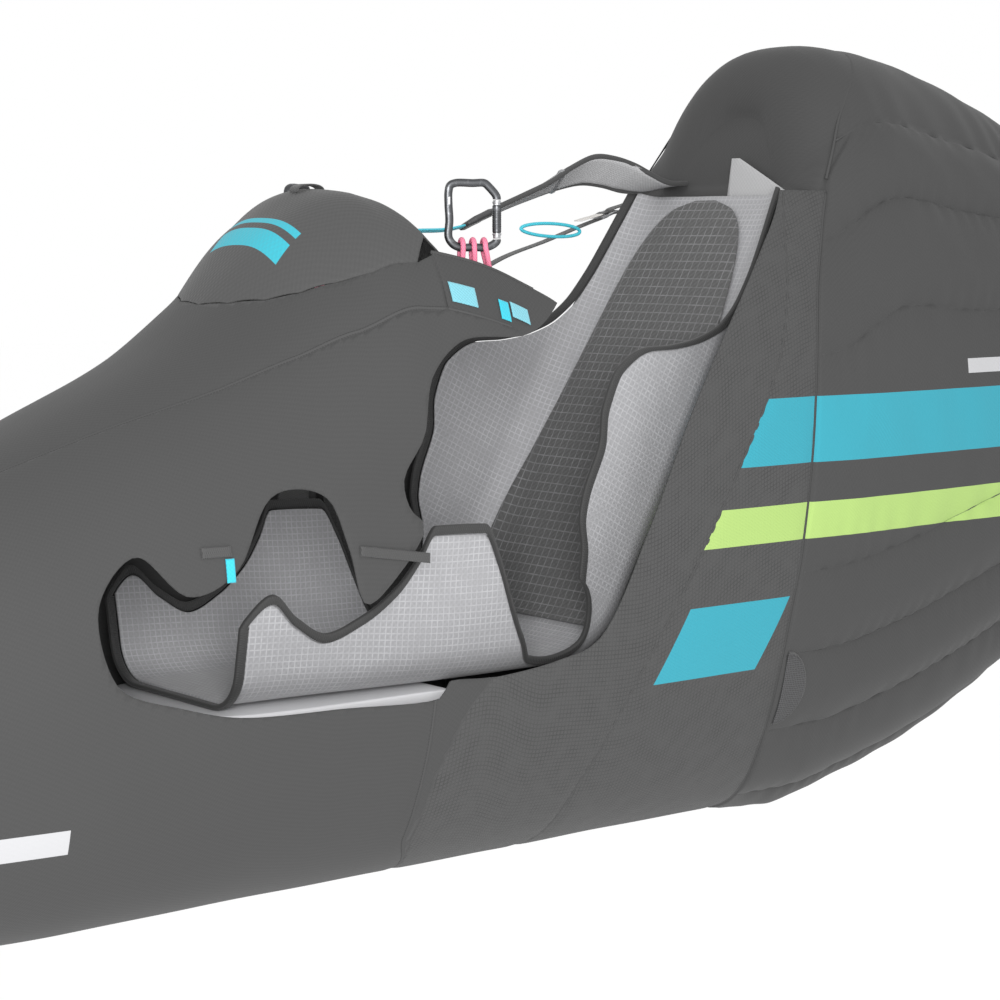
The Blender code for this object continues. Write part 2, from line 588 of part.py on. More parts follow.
def build_seat():
    """Seat trough, its bound edge and the dark pad on its back."""
    edge, thick = BINDING
    s = np.concatenate([[edge + 0.0009], seat_rows()])
    across = seat_reach(s) - edge - 0.0017
    share = np.linspace(-1, 1, 21)
    grid_s = np.repeat(s[:, None], len(share), 1)
    grid_a = across[:, None] * share[None, :]
    inner = seat_point(grid_s, grid_a, 0.0)
    outer = seat_point(grid_s, grid_a, SEAT_CLOTH)
    made = [slab("seat_shell", outer, inner)]

    down = s[::-1]
    border = [(a, -seat_reach(a), -seat_reach(a) + edge) for a in down]
    lines = [((a, l), (a, m)) for a, l, m in border]
    reach = float(seat_reach(0.0))
    wide = float(seat_reach(edge))
    lines.append(((0.0, -reach), (edge, -wide + edge)))
    for share_y in np.linspace(-0.8, 0.8, 9):
        lines.append(((0.0, share_y * reach), (edge, share_y * (wide - edge))))
    lines.append(((0.0, reach), (edge, wide - edge)))
    lines += [((a, seat_reach(a)), (a, seat_reach(a) - edge)) for a in s]
    mid = SEAT_CLOTH / 2
    verts = []
    for (sa, la), (sb, lb) in lines:
        verts.append(seat_point(sa, la, mid - thick / 2))
        verts.append(seat_point(sa, la, mid + thick / 2))
        verts.append(seat_point(sb, lb, mid + thick / 2))
        verts.append(seat_point(sb, lb, mid - thick / 2))
    n = len(lines)
    faces = [(3, 2, 1, 0), tuple(range(4 * n - 4, 4 * n))]
    for i in range(n - 1):
        for k in range(4):
            m = (k + 1) % 4
            faces.append((4 * i + k, 4 * i + m, 4 * i + 4 + m, 4 * i + 4 + k))
    made.append(mesh_object("seat_binding", verts, faces))

    pad_s = np.array([row[0] for row in BACK_PAD])
    pad_s = np.sort(np.concatenate([pad_s, [0.597, 0.66, 0.75, 0.875, 1.015, 1.11]]))
    pad_half = curve(BACK_PAD, pad_s)
    share = np.linspace(-1, 1, 11)
    grid_s = np.repeat(pad_s[:, None], len(share), 1)
    grid_a = pad_half[:, None] * share[None, :]
    under = seat_point(grid_s, grid_a, -PAD_LIFT)
    made.append(slab("back_pad", under, seat_point(grid_s, grid_a, -PAD_LIFT - PAD)))
    return made


def build_board():
    """Flat board under the front of the seat, with a rounded front."""
    plan = np.array(BOARD_PLAN)
    share = np.linspace(-1, 1, 3)
    rows = [np.stack([np.full(3, x), share * h, np.full(3, BOARD_Z[1])], -1) for x, h in plan]
    top = np.array(rows)
    low = top.copy()
    low[..., 2] = BOARD_Z[0]
    return slab("seat_board", top, low)


def side_patch(name, xs, low, high, rows, lift, thick, side=-1, form=hull):
    """Small sheet on the outer form between two heights given for each x."""
    grid = []
    for x, a, b in zip(xs, low, high):
        z = np.linspace(a, b, rows)
        grid.append(np.stack([np.full(rows, x), hull_turn(np.full(rows, x), z)], -1))
    grid = np.array(grid)
    x, turn = grid[..., 0], grid[..., 1]
    base = form(x, turn)
    n = outward(form, x, turn)
    flip = np.array([1.0, -side, 1.0])
    return slab(name, (base + n * (lift + thick)) * flip, (base + n * lift) * flip)


def build_patches():
    """Tabs on the rim band, the side strap with its pull and the mesh over the air intake."""
    made = []
    for name, a, b, low, high in (("rim_patch_front", -0.1615, -0.1285, 0.057, 0.034),
                                  ("rim_tab", -0.0963, -0.0816, 0.061, 0.038),
                                  ("rim_patch_rear", -0.0785, -0.0520, 0.054, 0.036)):
        xs = np.linspace(a, b, 4)
        top = curve(RIM, xs)
        made.append(side_patch(name, xs, top - low, top - high, 4, 0.0012 if name.endswith("rear") else 0.0004, 0.0014))
    xs = np.linspace(-0.508, -0.472, 3)
    made.append(side_patch("side_strap_front", xs, xs * 0 + 0.437, xs * 0 + 0.449, 2, 0.0005, WEBBING))
    xs = np.linspace(-0.312, -0.216, 4)
    low = 0.411 + (xs + 0.216) * -0.16
    made.append(side_patch("side_strap_rear", xs, low, low + 0.012, 2, 0.0005, WEBBING))
    xs = np.linspace(-0.481, -0.470, 2)
    made.append(side_patch("side_pull", xs, xs * 0 + 0.409, xs * 0 + 0.4355, 3, 0.0003, 0.002))
    for name, side in (("intake_mesh_near", -1), ("intake_mesh_far", 1)):
        share = np.array([0.0, 0.25, 0.5, 0.75, 0.93])
        half = 0.048 * np.sqrt(1 - share ** 2)
        rows = 7
        grid_z = 0.193 + half[:, None] * np.linspace(-1, 1, rows)[None, :]
        grid_x = curve(SEAM_TAIL, grid_z) + 0.007 + 0.036 * share[:, None]
        turn = hull_turn(grid_x, grid_z)
        base = fairing_point(grid_x, turn)
        n = outward(fairing_point, grid_x, turn)
        flip = np.array([1.0, -side, 1.0])
        made.append(slab(name, (base + n * 0.0030) * flip, (base + n * 0.0010) * flip))
    return made


def build_carabiner(side, name):
    """Carabiner with a hinged gate, its three cord loops and the strap that carries it."""
    cx, cy, cz = CARABINER_MID
    cy = cy * side
    a = (CARABINER_SIZE[0] - CARABINER_BAR) / 2
    b = (CARABINER_SIZE[1] - CARABINER_BAR) / 2
    r = CARABINER_BAR / 2
    ux = math.cos(math.radians(CARABINER_TURN_DEG))
    uy = side * math.sin(math.radians(CARABINER_TURN_DEG))
    path = ((a, 0.0186), (a, 0.0208), (a - 0.0018, 0.0246), (a - 0.0100, b - 0.004), (a - 0.0150, b), (-a + 0.008, b),
            (-a + 0.002, b - 0.003), (-a, b - 0.010), (-a + 0.001, -0.006), (-a, -b + 0.012),
            (-a + 0.005, -b + 0.004), (-a + 0.013, -b), (a - 0.013, -b), (a - 0.0040, -b + 0.0035),
            (a, -0.0304), (a, -0.0286))
    made = [tube("carabiner_" + name, [(cx + p * ux, cy + p * uy, cz + q) for p, q in path], r, 8)]
    gate = ((a, -0.0275), (a, -0.0235), (a, 0.0135), (a, 0.0178))
    made.append(tube("gate_" + name, [(cx + p * ux, cy + p * uy, cz + q) for p, q in gate], r + 0.0006, 8, 0.62))
    bar_z = cz - b
    for i, (top, low) in enumerate(((-0.0135, -0.020), (0.0000, 0.003), (0.0135, 0.032))):
        turn = r + 0.0033 + 0.0009
        legs = []
        for z, half in ((0.7159, 0.0050), (0.742, 0.0052), (bar_z - 0.006, turn)):
            share = (bar_z - z) / (bar_z - 0.7159)
            legs.append((top * ux * (1 - share) + low * share, top * uy * (1 - share), z, half))
        points = [(cx + p + half * uy, cy + q - half * ux, z) for p, q, z, half in legs]
        for deg in (0, 45, 90, 135, 180):
            ang = math.radians(deg)
            out = turn * math.cos(ang)
            points.append((cx + top * ux + out * uy, cy + top * uy - out * ux, bar_z + turn * math.sin(ang)))
        points += [(cx + p - half * uy, cy + q + half * ux, z) for p, q, z, half in legs[::-1]]
        made.append(tube("cord_loop_%s_%d" % (name, i + 1), points, 0.0033, 6))
    if side < 0:
        strap = [(cx + 0.005, y, z) for y, z in ((-0.185, 0.7138), (-0.201, 0.7090), (-0.2150, 0.7035),
                                                 (-0.2207, 0.6975), (-0.2237, 0.687), (-0.2265, 0.677))]
    else:
        strap = ((cx + 0.005, cy, 0.7155), (cx + 0.004, cy + 0.006, 0.69), (cx - 0.004, cy + 0.014, 0.64),
                 (cx - 0.007, cy + 0.015, 0.56), (cx - 0.011, cy + 0.0048, 0.48), (cx - 0.013, cy + 0.0013, 0.440),
                 (cx - 0.013, cy + 0.0008, 0.400))
    made.append(ribbon("load_strap_" + name, strap, (1, 0, 0), 0.066 if side < 0 else 0.050, WEBBING))
    return made


def along_strap(e, n, y=0.176):
    """Point near the buckle of the adjuster: e millimetres down the strap and n out from it."""
    ex, ez = -0.950, -0.313
    return (0.4110 + (ex * e + ez * n) / 1000, y, 0.8165 + (ez * e - ex * n) / 1000)


def build_straps():
    """Far shoulder strap, its chest buckle and pull, the adjuster with its buckle, and the cut-away root."""
    made = []
    path = ((0.4752, 0.095, 0.8592), (0.4400, 0.095, 0.8555), (0.4095, 0.095, 0.8600), (0.3850, 0.095, 0.8660),
            (0.3486, 0.095, 0.8739), (0.3123, 0.095, 0.8761), (0.2731, 0.095, 0.8660), (0.2274, 0.095, 0.8479),
            (0.1841, 0.095, 0.8327), (0.1400, 0.093, 0.8170))
    across = [(0, 1, 0), (0, 0.98, -0.2), (0, 0.85, -0.5), (0, 0.68, -0.72), (0, 0.62, -0.77), (0, 0.66, -0.75),
              (0, 0.78, -0.62), (0, 0.90, -0.42), (0, 0.93, -0.36), (0, 0.93, -0.36)]
    made.append(ribbon("shoulder_strap", path, across, 0.050, 0.007))
    made.append(ribbon("chest_buckle", ((0.1390, 0.0925, 0.8166), (0.128, 0.091, 0.8125), (0.100, 0.087, 0.8025),
                                        (0.0900, 0.085, 0.7990)), (0.0, 0.93, -0.36),
                       (0.026, 0.034, 0.034, 0.024), (0.006, 0.009, 0.009, 0.006)))
    made.append(ribbon("chest_pull", ((0.0892, 0.085, 0.7986), (0.060, 0.084, 0.7940), (0.010, 0.082, 0.7925),
                                      (-0.040, 0.080, 0.7905)),
                       (0.0, 0.93, -0.36), 0.012, WEBBING))
    root = [(0.4644, -0.146, 0.8396), (0.4644, -0.020, 0.8396), (0.4728, -0.020, 0.8920), (0.4728, -0.036, 0.8920)]
    verts = [(x - 0.0015, y, z) for x, y, z in root] + [(x + 0.0015, y, z) for x, y, z in root]
    faces = [(3, 2, 1, 0), (4, 5, 6, 7), (0, 1, 5, 4), (1, 2, 6, 5), (2, 3, 7, 6), (3, 0, 4, 7)]
    made.append(mesh_object("strap_root_near", verts, faces))

    upper = [along_strap(*q) for q in ((-54.8, 3.3, 0.164), (-36, 3.2, 0.170), (-14, 3.12), (-11.2, 1.8),
                                       (-10.6, 0.0), (-11.2, -1.8), (-14, -3.12), (-27, -3.12))]
    made.append(ribbon("adjuster_top", upper, (0, 1, 0), 0.020, 0.0016))
    low = [(-0.060, 0.205, 0.432), (-0.060, 0.207, 0.47), (-0.042, 0.208, 0.52), (0.010, 0.203, 0.590),
           (0.08, 0.195, 0.655), (0.15, 0.186, 0.713), (0.221, 0.178, 0.7530)]
    low += [along_strap(*q) for q in ((115, -2.0), (60, -2.2), (30, -2.6), (14, -3.12), (0, -3.12), (-2.9, -1.8),
                                      (-3.5, 0.0), (-2.9, 1.8), (0, 3.12), (8, 2.8))]
    made.append(ribbon("adjuster_strap", low, (0, 1, 0), 0.020, 0.0016))
    tail = [along_strap(*q) for q in ((8.8, 2.8), (20, 3.4), (34, 5.0), (48, 6.0))]
    made.append(ribbon("adjuster_tail", tail, (0, 1, 0), 0.020, 0.0016))

    base = [along_strap(-16, 0), along_strap(16, 0)]
    lock = ribbon("ladder_lock", base, (0, 1, 0), 0.0335, 0.0025)
    for mid in (-7.0, 7.0):
        cutter = ribbon("cut_slot", [along_strap(mid - 5, 0), along_strap(mid + 5, 0)], (0, 1, 0), 0.0235, 0.02)
        cutter.hide_render = True
        cutter.display_type = "WIRE"
        shape_by(lock, cutter, "DIFFERENCE")
        bpy.data.objects.remove(cutter)
    made.append(lock)

    loop = []
    for deg in range(0, 360, 30):
        ang = math.radians(deg)
        loop.append((0.3030 + 0.053 * math.cos(ang), 0.1642 - 0.004 * abs(math.sin(ang)),
                     0.7940 + 0.009 * math.sin(ang) - 0.002 * math.cos(ang)))
    made.append(tube("adjuster_pull", loop, 0.0025, 6, closed=True))
    return made


LOOKS = (
    ("leg_cover", "5e5e5e", 0.85, 0.0), ("pod_body", "5e5e5e", 0.85, 0.0), ("hip_panel", "5f5f5f", 0.8, 0.0),
    ("flank_panel", "5f5f5f", 0.8, 0.0), ("rim_band", "535353", 0.8, 0.0), ("tail_fairing", "585858", 0.85, 0.0),
    ("cockpit_cover", "656565", 0.8, 0.0), ("seat_shell", "9e9ea0", 0.8, 0.0), ("back_pad", "575757", 0.85, 0.0),
    ("seat_binding", "313131", 0.75, 0.0), ("seat_board", "b7b7b7", 0.5, 0.0), ("rim_patch", "85c6d3", 0.7, 0.0),
    ("rim_tab", "38c3d6", 0.7, 0.0), ("side_strap", "3c3c3c", 0.8, 0.0), ("side_pull", "46b7c4", 0.7, 0.0),
    ("intake", "2b2b2b", 0.9, 0.0), ("carabiner", "4a4b4d", 0.35, 1.0), ("gate", "8b8c8e", 0.35, 1.0),
    ("cord_loop", "cf6f8a", 0.75, 0.0), ("load_strap", "505050", 0.8, 0.0), ("shoulder", "6a6a6b", 0.8, 0.0),
    ("chest_buckle", "3a3a3b", 0.5, 0.0), ("chest_pull", "46b7c4", 0.7, 0.0), ("strap_root", "9b9b9b", 0.8, 0.0),
    ("adjuster_top", "505050", 0.8, 0.0), ("adjuster_strap", "505050", 0.8, 0.0),
    ("adjuster_tail", "cbc8c4", 0.8, 0.0), ("ladder_lock", "9a9b9d", 0.35, 1.0),
    ("adjuster_pull", "46b7c4", 0.6, 0.0),
)


def paint(obj):
    """Own plain material for a piece, looked up by the start of its name."""
    for start, code, rough, metal in LOOKS:
        if obj.name.startswith(start):
            break
    colour = []
    for i in (0, 2, 4):
        v = int(code[i:i + 2], 16) / 255
        colour.append(v / 12.92 if v <= 0.04045 else ((v + 0.055) / 1.055) ** 2.4)
    material = bpy.data.materials.new(obj.name)
    material.use_nodes = True
    shader = material.node_tree.nodes["Principled BSDF"]
    shader.inputs["Base Color"].default_value = (*colour, 1.0)
    shader.inputs["Roughness"].default_value = rough
    shader.inputs["Metallic"].default_value = metal
    obj.data.materials.clear()
    obj.data.materials.append(material)


for old in list(bpy.data.objects):
    bpy.data.objects.remove(old)

pieces = build_panels()
pieces.append(build_cover())
pieces.append(build_fairing())
pieces += build_seat()
pieces.append(build_board())
pieces += build_patches()
pieces += build_carabiner(-1, "near")
pieces += build_carabiner(1, "far")
pieces += build_straps()
for piece in pieces:
    paint(piece)
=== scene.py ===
"""Looks of a paragliding pod harness drawn as a cutaway: cloth cocoon, inflated tail fairing, seat, straps.

Metres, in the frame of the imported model: +Z up, the foot end points to -X, the cut-away side faces -Y.
Every cloth piece is a surface of two parameters, cut along its outlines and given its thickness.
"""

import math

import bmesh
import bpy
import numpy as np
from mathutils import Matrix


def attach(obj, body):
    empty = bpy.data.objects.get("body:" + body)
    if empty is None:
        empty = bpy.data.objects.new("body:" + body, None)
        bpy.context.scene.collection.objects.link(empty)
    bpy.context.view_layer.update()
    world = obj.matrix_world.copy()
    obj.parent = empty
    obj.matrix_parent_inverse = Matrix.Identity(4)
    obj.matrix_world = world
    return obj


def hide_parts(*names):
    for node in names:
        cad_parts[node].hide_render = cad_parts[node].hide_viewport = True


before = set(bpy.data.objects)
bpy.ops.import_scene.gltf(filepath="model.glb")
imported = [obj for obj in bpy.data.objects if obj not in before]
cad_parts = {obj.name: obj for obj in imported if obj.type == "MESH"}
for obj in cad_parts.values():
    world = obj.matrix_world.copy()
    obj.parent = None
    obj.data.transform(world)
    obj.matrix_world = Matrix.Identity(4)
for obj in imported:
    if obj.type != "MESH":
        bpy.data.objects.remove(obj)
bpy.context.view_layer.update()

# Cloth thicknesses and the spacing of the surface grids
CLOTH = 0.002
SEAT_CLOTH = 0.003
WEBBING = 0.0025
ROOT_CLOTH = 0.003
GRID = 0.008
FINE_GRID = 0.004

# Least share of its flat rectangle that a sheet may fill before the rectangle is made narrower
LEAST_FILL = 0.4

# Outer form, the same sections as the solids:
# x, bottom, top, half width, height of the widest point, power of the lower and of the upper curve
HULL_SECTIONS = (
    (-1.080, 0.050, 0.355, 0.130, 0.200, 2.4, 2.4),
    (-1.000, 0.018, 0.400, 0.160, 0.210, 2.4, 2.4),
    (-0.880, 0.001, 0.455, 0.187, 0.235, 2.5, 2.3),
    (-0.760, -0.004, 0.512, 0.208, 0.270, 2.5, 2.3),
    (-0.600, -0.004, 0.580, 0.228, 0.320, 2.6, 2.3),
    (-0.445, -0.004, 0.652, 0.240, 0.370, 2.6, 2.3),
    (-0.350, -0.004, 0.722, 0.245, 0.400, 2.6, 2.3),
    (-0.280, -0.004, 0.785, 0.248, 0.420, 2.6, 2.4),
    (-0.200, -0.004, 0.834, 0.250, 0.430, 2.6, 2.8),
    (-0.120, -0.004, 0.830, 0.252, 0.440, 2.6, 3.3),
    (-0.030, -0.004, 0.795, 0.252, 0.445, 2.6, 3.3),
    (0.100, -0.004, 0.800, 0.252, 0.450, 2.6, 3.0),
    (0.300, -0.004, 0.920, 0.250, 0.460, 2.6, 2.6),
    (0.470, -0.004, 1.012, 0.244, 0.470, 2.6, 2.25),
    (0.600, 0.018, 1.051, 0.238, 0.490, 2.6, 2.60),
    (0.750, 0.052, 1.029, 0.230, 0.520, 2.5, 2.35),
    (0.900, 0.105, 0.986, 0.218, 0.540, 2.4, 2.3),
    (1.050, 0.180, 0.922, 0.198, 0.550, 2.4, 2.3),
    (1.200, 0.248, 0.842, 0.170, 0.550, 2.3, 2.3),
    (1.350, 0.315, 0.755, 0.134, 0.545, 2.2, 2.3),
    (1.480, 0.378, 0.685, 0.092, 0.535, 2.2, 2.2),
    (1.570, 0.445, 0.605, 0.050, 0.528, 2.0, 2.0),
    (1.605, 0.523, 0.531, 0.003, 0.527, 2.0, 2.0),
)
FOOT = -1.080
FOOT_CROWN = 0.045

# Seams of the cocoon in side view: height, x
SEAM_HIP = ((0.00, -0.150), (0.031, -0.170), (0.073, -0.186), (0.139, -0.182), (0.182, -0.169),
            (0.229, -0.148), (0.259, -0.122), (0.45, -0.03), (0.72, 0.10))
SEAM_WELT = ((0.00, -0.150), (0.031, -0.173), (0.073, -0.199), (0.139, -0.202), (0.252, -0.200))
SEAM_MID = ((0.00, 0.044), (0.044, 0.047), (0.096, 0.054), (0.142, 0.073), (0.192, 0.095), (0.284, 0.146),
            (0.38, 0.207), (0.49, 0.275), (0.577, 0.327), (0.64, 0.358), (0.716, 0.380), (0.80, 0.397), (0.85, 0.413))
SEAM_TAIL = ((0.00, 0.395), (0.058, 0.380), (0.135, 0.371), (0.191, 0.372), (0.286, 0.379), (0.378, 0.395),
             (0.469, 0.409), (0.573, 0.419), (0.703, 0.435), (0.80, 0.466), (0.85, 0.488))
SEAM_HEAD = ((0.86, 0.489), (0.90, 0.513), (0.942, 0.538), (0.99, 0.580), (1.038, 0.639), (1.05, 0.662))
HIP_PANEL_TOP = 0.846

# Side seam under the leg cover as a share of the half width, then the rim of the cockpit: x, height
SEAM_SIDE = ((-1.04, 0.34), (-0.85, 0.36), (-0.675, 0.402), (-0.593, 0.457), (-0.509, 0.527), (-0.426, 0.616),
             (-0.346, 0.71), (-0.263, 0.808), (-0.168, 0.890))
RIM = ((-0.19, 0.773), (-0.148, 0.764), (-0.074, 0.743), (-0.012, 0.714), (0.027, 0.688), (0.075, 0.668),
       (0.15, 0.655), (0.20, 0.668), (0.24, 0.708), (0.28, 0.782), (0.315, 0.850))
RIM_FAR = ((-0.19, 0.765), (-0.148, 0.756), (-0.074, 0.737), (-0.012, 0.712), (0.027, 0.688), (0.075, 0.668),
           (0.15, 0.652), (0.25, 0.632), (0.311, 0.622), (0.346, 0.631), (0.38, 0.653), (0.405, 0.674),
           (0.424, 0.688))
BAND_FRONT = -0.168
BAND_HEIGHT = 0.066

# Plan of the cockpit cover: x, half width
COVER_PLAN = ((-0.370, 0.0), (-0.362, 0.052), (-0.340, 0.098), (-0.312, 0.130), (-0.279, 0.153), (-0.241, 0.175),
              (-0.205, 0.188), (-0.190, 0.192))
TONGUE_PLAN = ((-0.190, 0.192), (-0.165, 0.172), (-0.100, 0.150), (-0.050, 0.115), (-0.030, 0.060), (-0.027, 0.0))

# Greatest height of the cover, which falls away behind the dome: x grown by 0.73 of the half width, height
COVER_FALL = ((-0.40, 0.90), (-0.136, 0.834), (-0.106, 0.826), (-0.075, 0.812), (-0.048, 0.794), (-0.032, 0.780),
              (-0.018, 0.768), (0.0, 0.750), (0.05, 0.700))

# Tail fairing: front line (height, x), the rebate for the side panels and the seams between its air cells
FAIRING_FRONT = ((0.0, 0.147), (0.24, 0.148), (0.27, 0.158), (0.30, 0.1730), (0.35, 0.1998), (0.45, 0.2530),
                 (0.60, 0.3338), (0.66, 0.374), (0.72, 0.407), (0.78, 0.436), (0.842, 0.4646), (0.90, 0.470),
                 (0.96, 0.476), (1.03, 0.490))
FAIRING_CORNER = 0.014
HEAD_CORNER = 0.075
TAIL_TIP = (1.605, 0.527)
SUNK = CLOTH + 0.0015
CELL_SEAMS = (0.0, 0.14, 0.28, 0.372, 0.447, 0.585, 0.68, 0.77, 1.23)
CREST_SHARE = 0.45
CELL_CROWN = 0.013

# Height of the middle of the air intakes
INTAKE_Z = 0.193

# Seat trough: a floor, an arc and a straight leaning back
SEAT_FRONT = -0.415
SEAT_FLOOR = 0.243
SEAT_ARC_START = 0.064
SEAT_ARC_RADIUS = 0.120
BACK_LEAN = math.radians(28.4)
SEAT_END = 1.214
SEAT_CORNER = 0.055
SEAT_SIDE = ((-0.006, 0.096), (0.04, 0.136), (0.075, 0.106), (0.118, 0.083), (0.165, 0.1), (0.21, 0.132),
             (0.238, 0.168), (0.258, 0.201), (0.335, 0.198), (0.358, 0.16), (0.38, 0.104), (0.4, 0.056),
             (0.418, 0.026), (0.45, 0.02), (0.496, 0.034), (0.529, 0.062), (0.559, 0.084), (0.599, 0.1073),
             (0.644, 0.128), (0.679, 0.153), (0.714, 0.163), (0.764, 0.168), (0.814, 0.188),
             (0.854, 0.192), (0.886, 0.18), (0.904, 0.166), (0.934, 0.118), (0.964, 0.08), (0.999, 0.052),
             (1.044, 0.036), (1.104, 0.029), (1.214, 0.026))
SEAT_WIDTH = ((0.0, 0.143, 0.2), (0.12, 0.15, 0.18), (0.3, 0.165, 0.1), (0.45, 0.168, 0.06),
              (0.614, 0.17, 0.06), (0.914, 0.176, 0.06), (1.064, 0.172, 0.05), (1.214, 0.156, 0.0))
BINDING = (0.012, 0.007)
BACK_PAD = ((0.574, 0.12), (0.589, 0.15), (0.634, 0.162), (0.714, 0.16), (0.814, 0.148), (0.964, 0.128),
            (1.094, 0.108), (1.154, 0.088), (1.189, 0.06), (1.204, 0.02))
PAD = 0.0025
PAD_LIFT = 0.0042

# Window in the near wall, in side view: x, height. Its sides run back along the sight line by WINDOW_SLANT
WINDOW = ((-0.638, 0.319), (-0.654, 0.397), (-0.611, 0.444), (-0.539, 0.397), (-0.479, 0.42), (-0.433, 0.50),
          (-0.361, 0.496), (-0.328, 0.435), (-0.305, 0.370), (-0.266, 0.395), (-0.222, 0.454), (-0.243, 0.475),
          (-0.252, 0.510), (-0.223, 0.557), (-0.211, 0.625), (-0.168, 0.665), (-0.071, 0.670), (-0.038, 0.690),
          (0.011, 0.766), (0.091, 0.90), (0.353, 0.90), (0.353, 0.839), (0.307, 0.753), (0.239, 0.644),
          (0.189, 0.558), (0.123, 0.425), (0.043, 0.295), (-0.021, 0.275), (-0.113, 0.265), (-0.193, 0.265),
          (-0.193, 0.251), (-0.343, 0.252), (-0.478, 0.258), (-0.551, 0.276), (-0.618, 0.298))
WINDOW_PLANE = -0.25
WINDOW_SLANT = 0.787

BOARD_PLAN = ((-0.462, 0.034), (-0.457, 0.068), (-0.441, 0.103), (-0.414, 0.128), (-0.370, 0.141),
              (-0.300, 0.146), (-0.110, 0.148))
BOARD_Z = (0.2210, 0.2371)

CARABINER_MID = (-0.103, 0.185, 0.8105)
CARABINER_TURN_DEG = 25.0
CARABINER_SIZE = (0.068, 0.085)
CARABINER_BAR = 0.0095

# Camera of the photograph: place, heading from +Y towards +X, tilt down and focal length for a 36 mm sensor
CAMERA_PLACE = (-1.893, -2.512, 0.787)
CAMERA_HEADING = math.radians(38.2)
CAMERA_TILT = math.radians(6.14)
CAMERA_LENS = 88.63

# Light of the stage: the white surroundings, the soft key lamp beside the camera and the fill
WORLD_LIGHT = 1.0
KEY_WATTS = 115.0
FILL_WATTS = 12.0
FLOOR_Z = -1.3


# Curves and forms

def curve(table, t):
    """Smooth curve through the rows of a table: cubic steps whose slopes are held so that it never overshoots."""
    rows = np.asarray(table, float)
    x = rows[:, 0]
    t = np.clip(np.asarray(t, float), x[0], x[-1])
    step = np.diff(x)
    k = np.clip(np.searchsorted(x, t, side="right") - 1, 0, len(x) - 2)
    u = (t - x[k]) / step[k]
    out = []
    for column in range(1, rows.shape[1]):
        y = rows[:, column]
        slope = np.diff(y) / step
        tangent = np.zeros(len(x))
        tangent[0] = slope[0]
        tangent[-1] = slope[-1]
        same = slope[:-1] * slope[1:] > 0
        mean = 2 * slope[:-1] * slope[1:] / np.where(same, slope[:-1] + slope[1:], 1.0)
        tangent[1:-1] = np.where(same, mean, 0.0)
        a = 2 * u ** 3 - 3 * u ** 2 + 1
        b = u ** 3 - 2 * u ** 2 + u
        out.append(a * y[k] + b * step[k] * tangent[k] + (1 - a) * y[k + 1]
                   + (u ** 3 - u ** 2) * step[k] * tangent[k + 1])
    return out[0] if len(out) == 1 else out


def spline(points, count, closed=False):
    """count points on a smooth line through given points: cubic steps with chord-length slopes."""
    p = np.asarray(points, float)
    if closed:
        p = np.concatenate([p[-2:], p, p[:3]])
    t = np.concatenate([[0], np.cumsum(np.sqrt(np.linalg.norm(np.diff(p, axis=0), axis=1)))])
    slope = np.gradient(p, t, axis=0)
    low, high = (t[2], t[-3]) if closed else (t[0], t[-1])
    at = np.linspace(low, high, count, endpoint=not closed)
    k = np.clip(np.searchsorted(t, at, side="right") - 1, 0, len(t) - 2)
    step = (t[k + 1] - t[k])[:, None]
    u = ((at - t[k]) / step[:, 0])[:, None]
    a = 2 * u ** 3 - 3 * u ** 2 + 1
    return (a * p[k] + (u ** 3 - 2 * u ** 2 + u) * step * slope[k] + (1 - a) * p[k + 1]
            + (u ** 3 - u ** 2) * step * slope[k + 1])


def unit(v):
    """Vectors at length one."""
    return v / np.maximum(np.linalg.norm(v, axis=-1, keepdims=True), 1e-12)


def hull(x, turn):
    """Outer form: superellipse sections along X. turn runs from 0 at the belly up the near side to pi at the crest."""
    x = np.asarray(x, float)
    turn = np.asarray(turn, float)
    low, high, half, waist, power_low, power_high = curve(HULL_SECTIONS, x)
    q = np.clip((FOOT - x) / FOOT_CROWN, 0, 1)
    shrink = (1 - q ** 2.4) ** (1 / 2.4)
    c = np.cos(turn)
    s = np.sin(turn)
    power = np.where(c > 0, power_low, power_high)
    reach = np.where(c > 0, waist - low, high - waist)
    y = -half * shrink * np.sign(s) * np.abs(s) ** (2 / power)
    z = waist - reach * shrink * np.sign(c) * np.abs(c) ** (2 / power)
    return np.stack([x + 0 * y, y, np.maximum(z, 0.0)], -1)


def outward(form, a, b, step=0.002):
    """Unit normals of a surface form(a, b), by differences, pointing out of the harness."""
    da = form(a + step, b) - form(a - step, b)
    db = form(a, b + step) - form(a, b - step)
    return unit(np.cross(da, db))


def hull_turn(x, z):
    """Turn of the near side of the outer form at a height."""
    low, high, half, waist, power_low, power_high = curve(HULL_SECTIONS, x)
    up = z > waist
    share = np.clip(np.where(up, (z - waist) / (high - waist), (waist - z) / (waist - low)), 0, 1)
    c = share ** (np.where(up, power_high, power_low) / 2)
    return np.where(up, math.pi - np.arccos(c), np.arccos(c))


def side_half(x):
    """Half width of the leg cover at x, up to its side seam."""
    return curve(SEAM_SIDE, x) * curve(HULL_SECTIONS, x)[2]


def hump(distance, width):
    """Bell of height one around distance zero."""
    return np.exp(-(distance / width) ** 2)


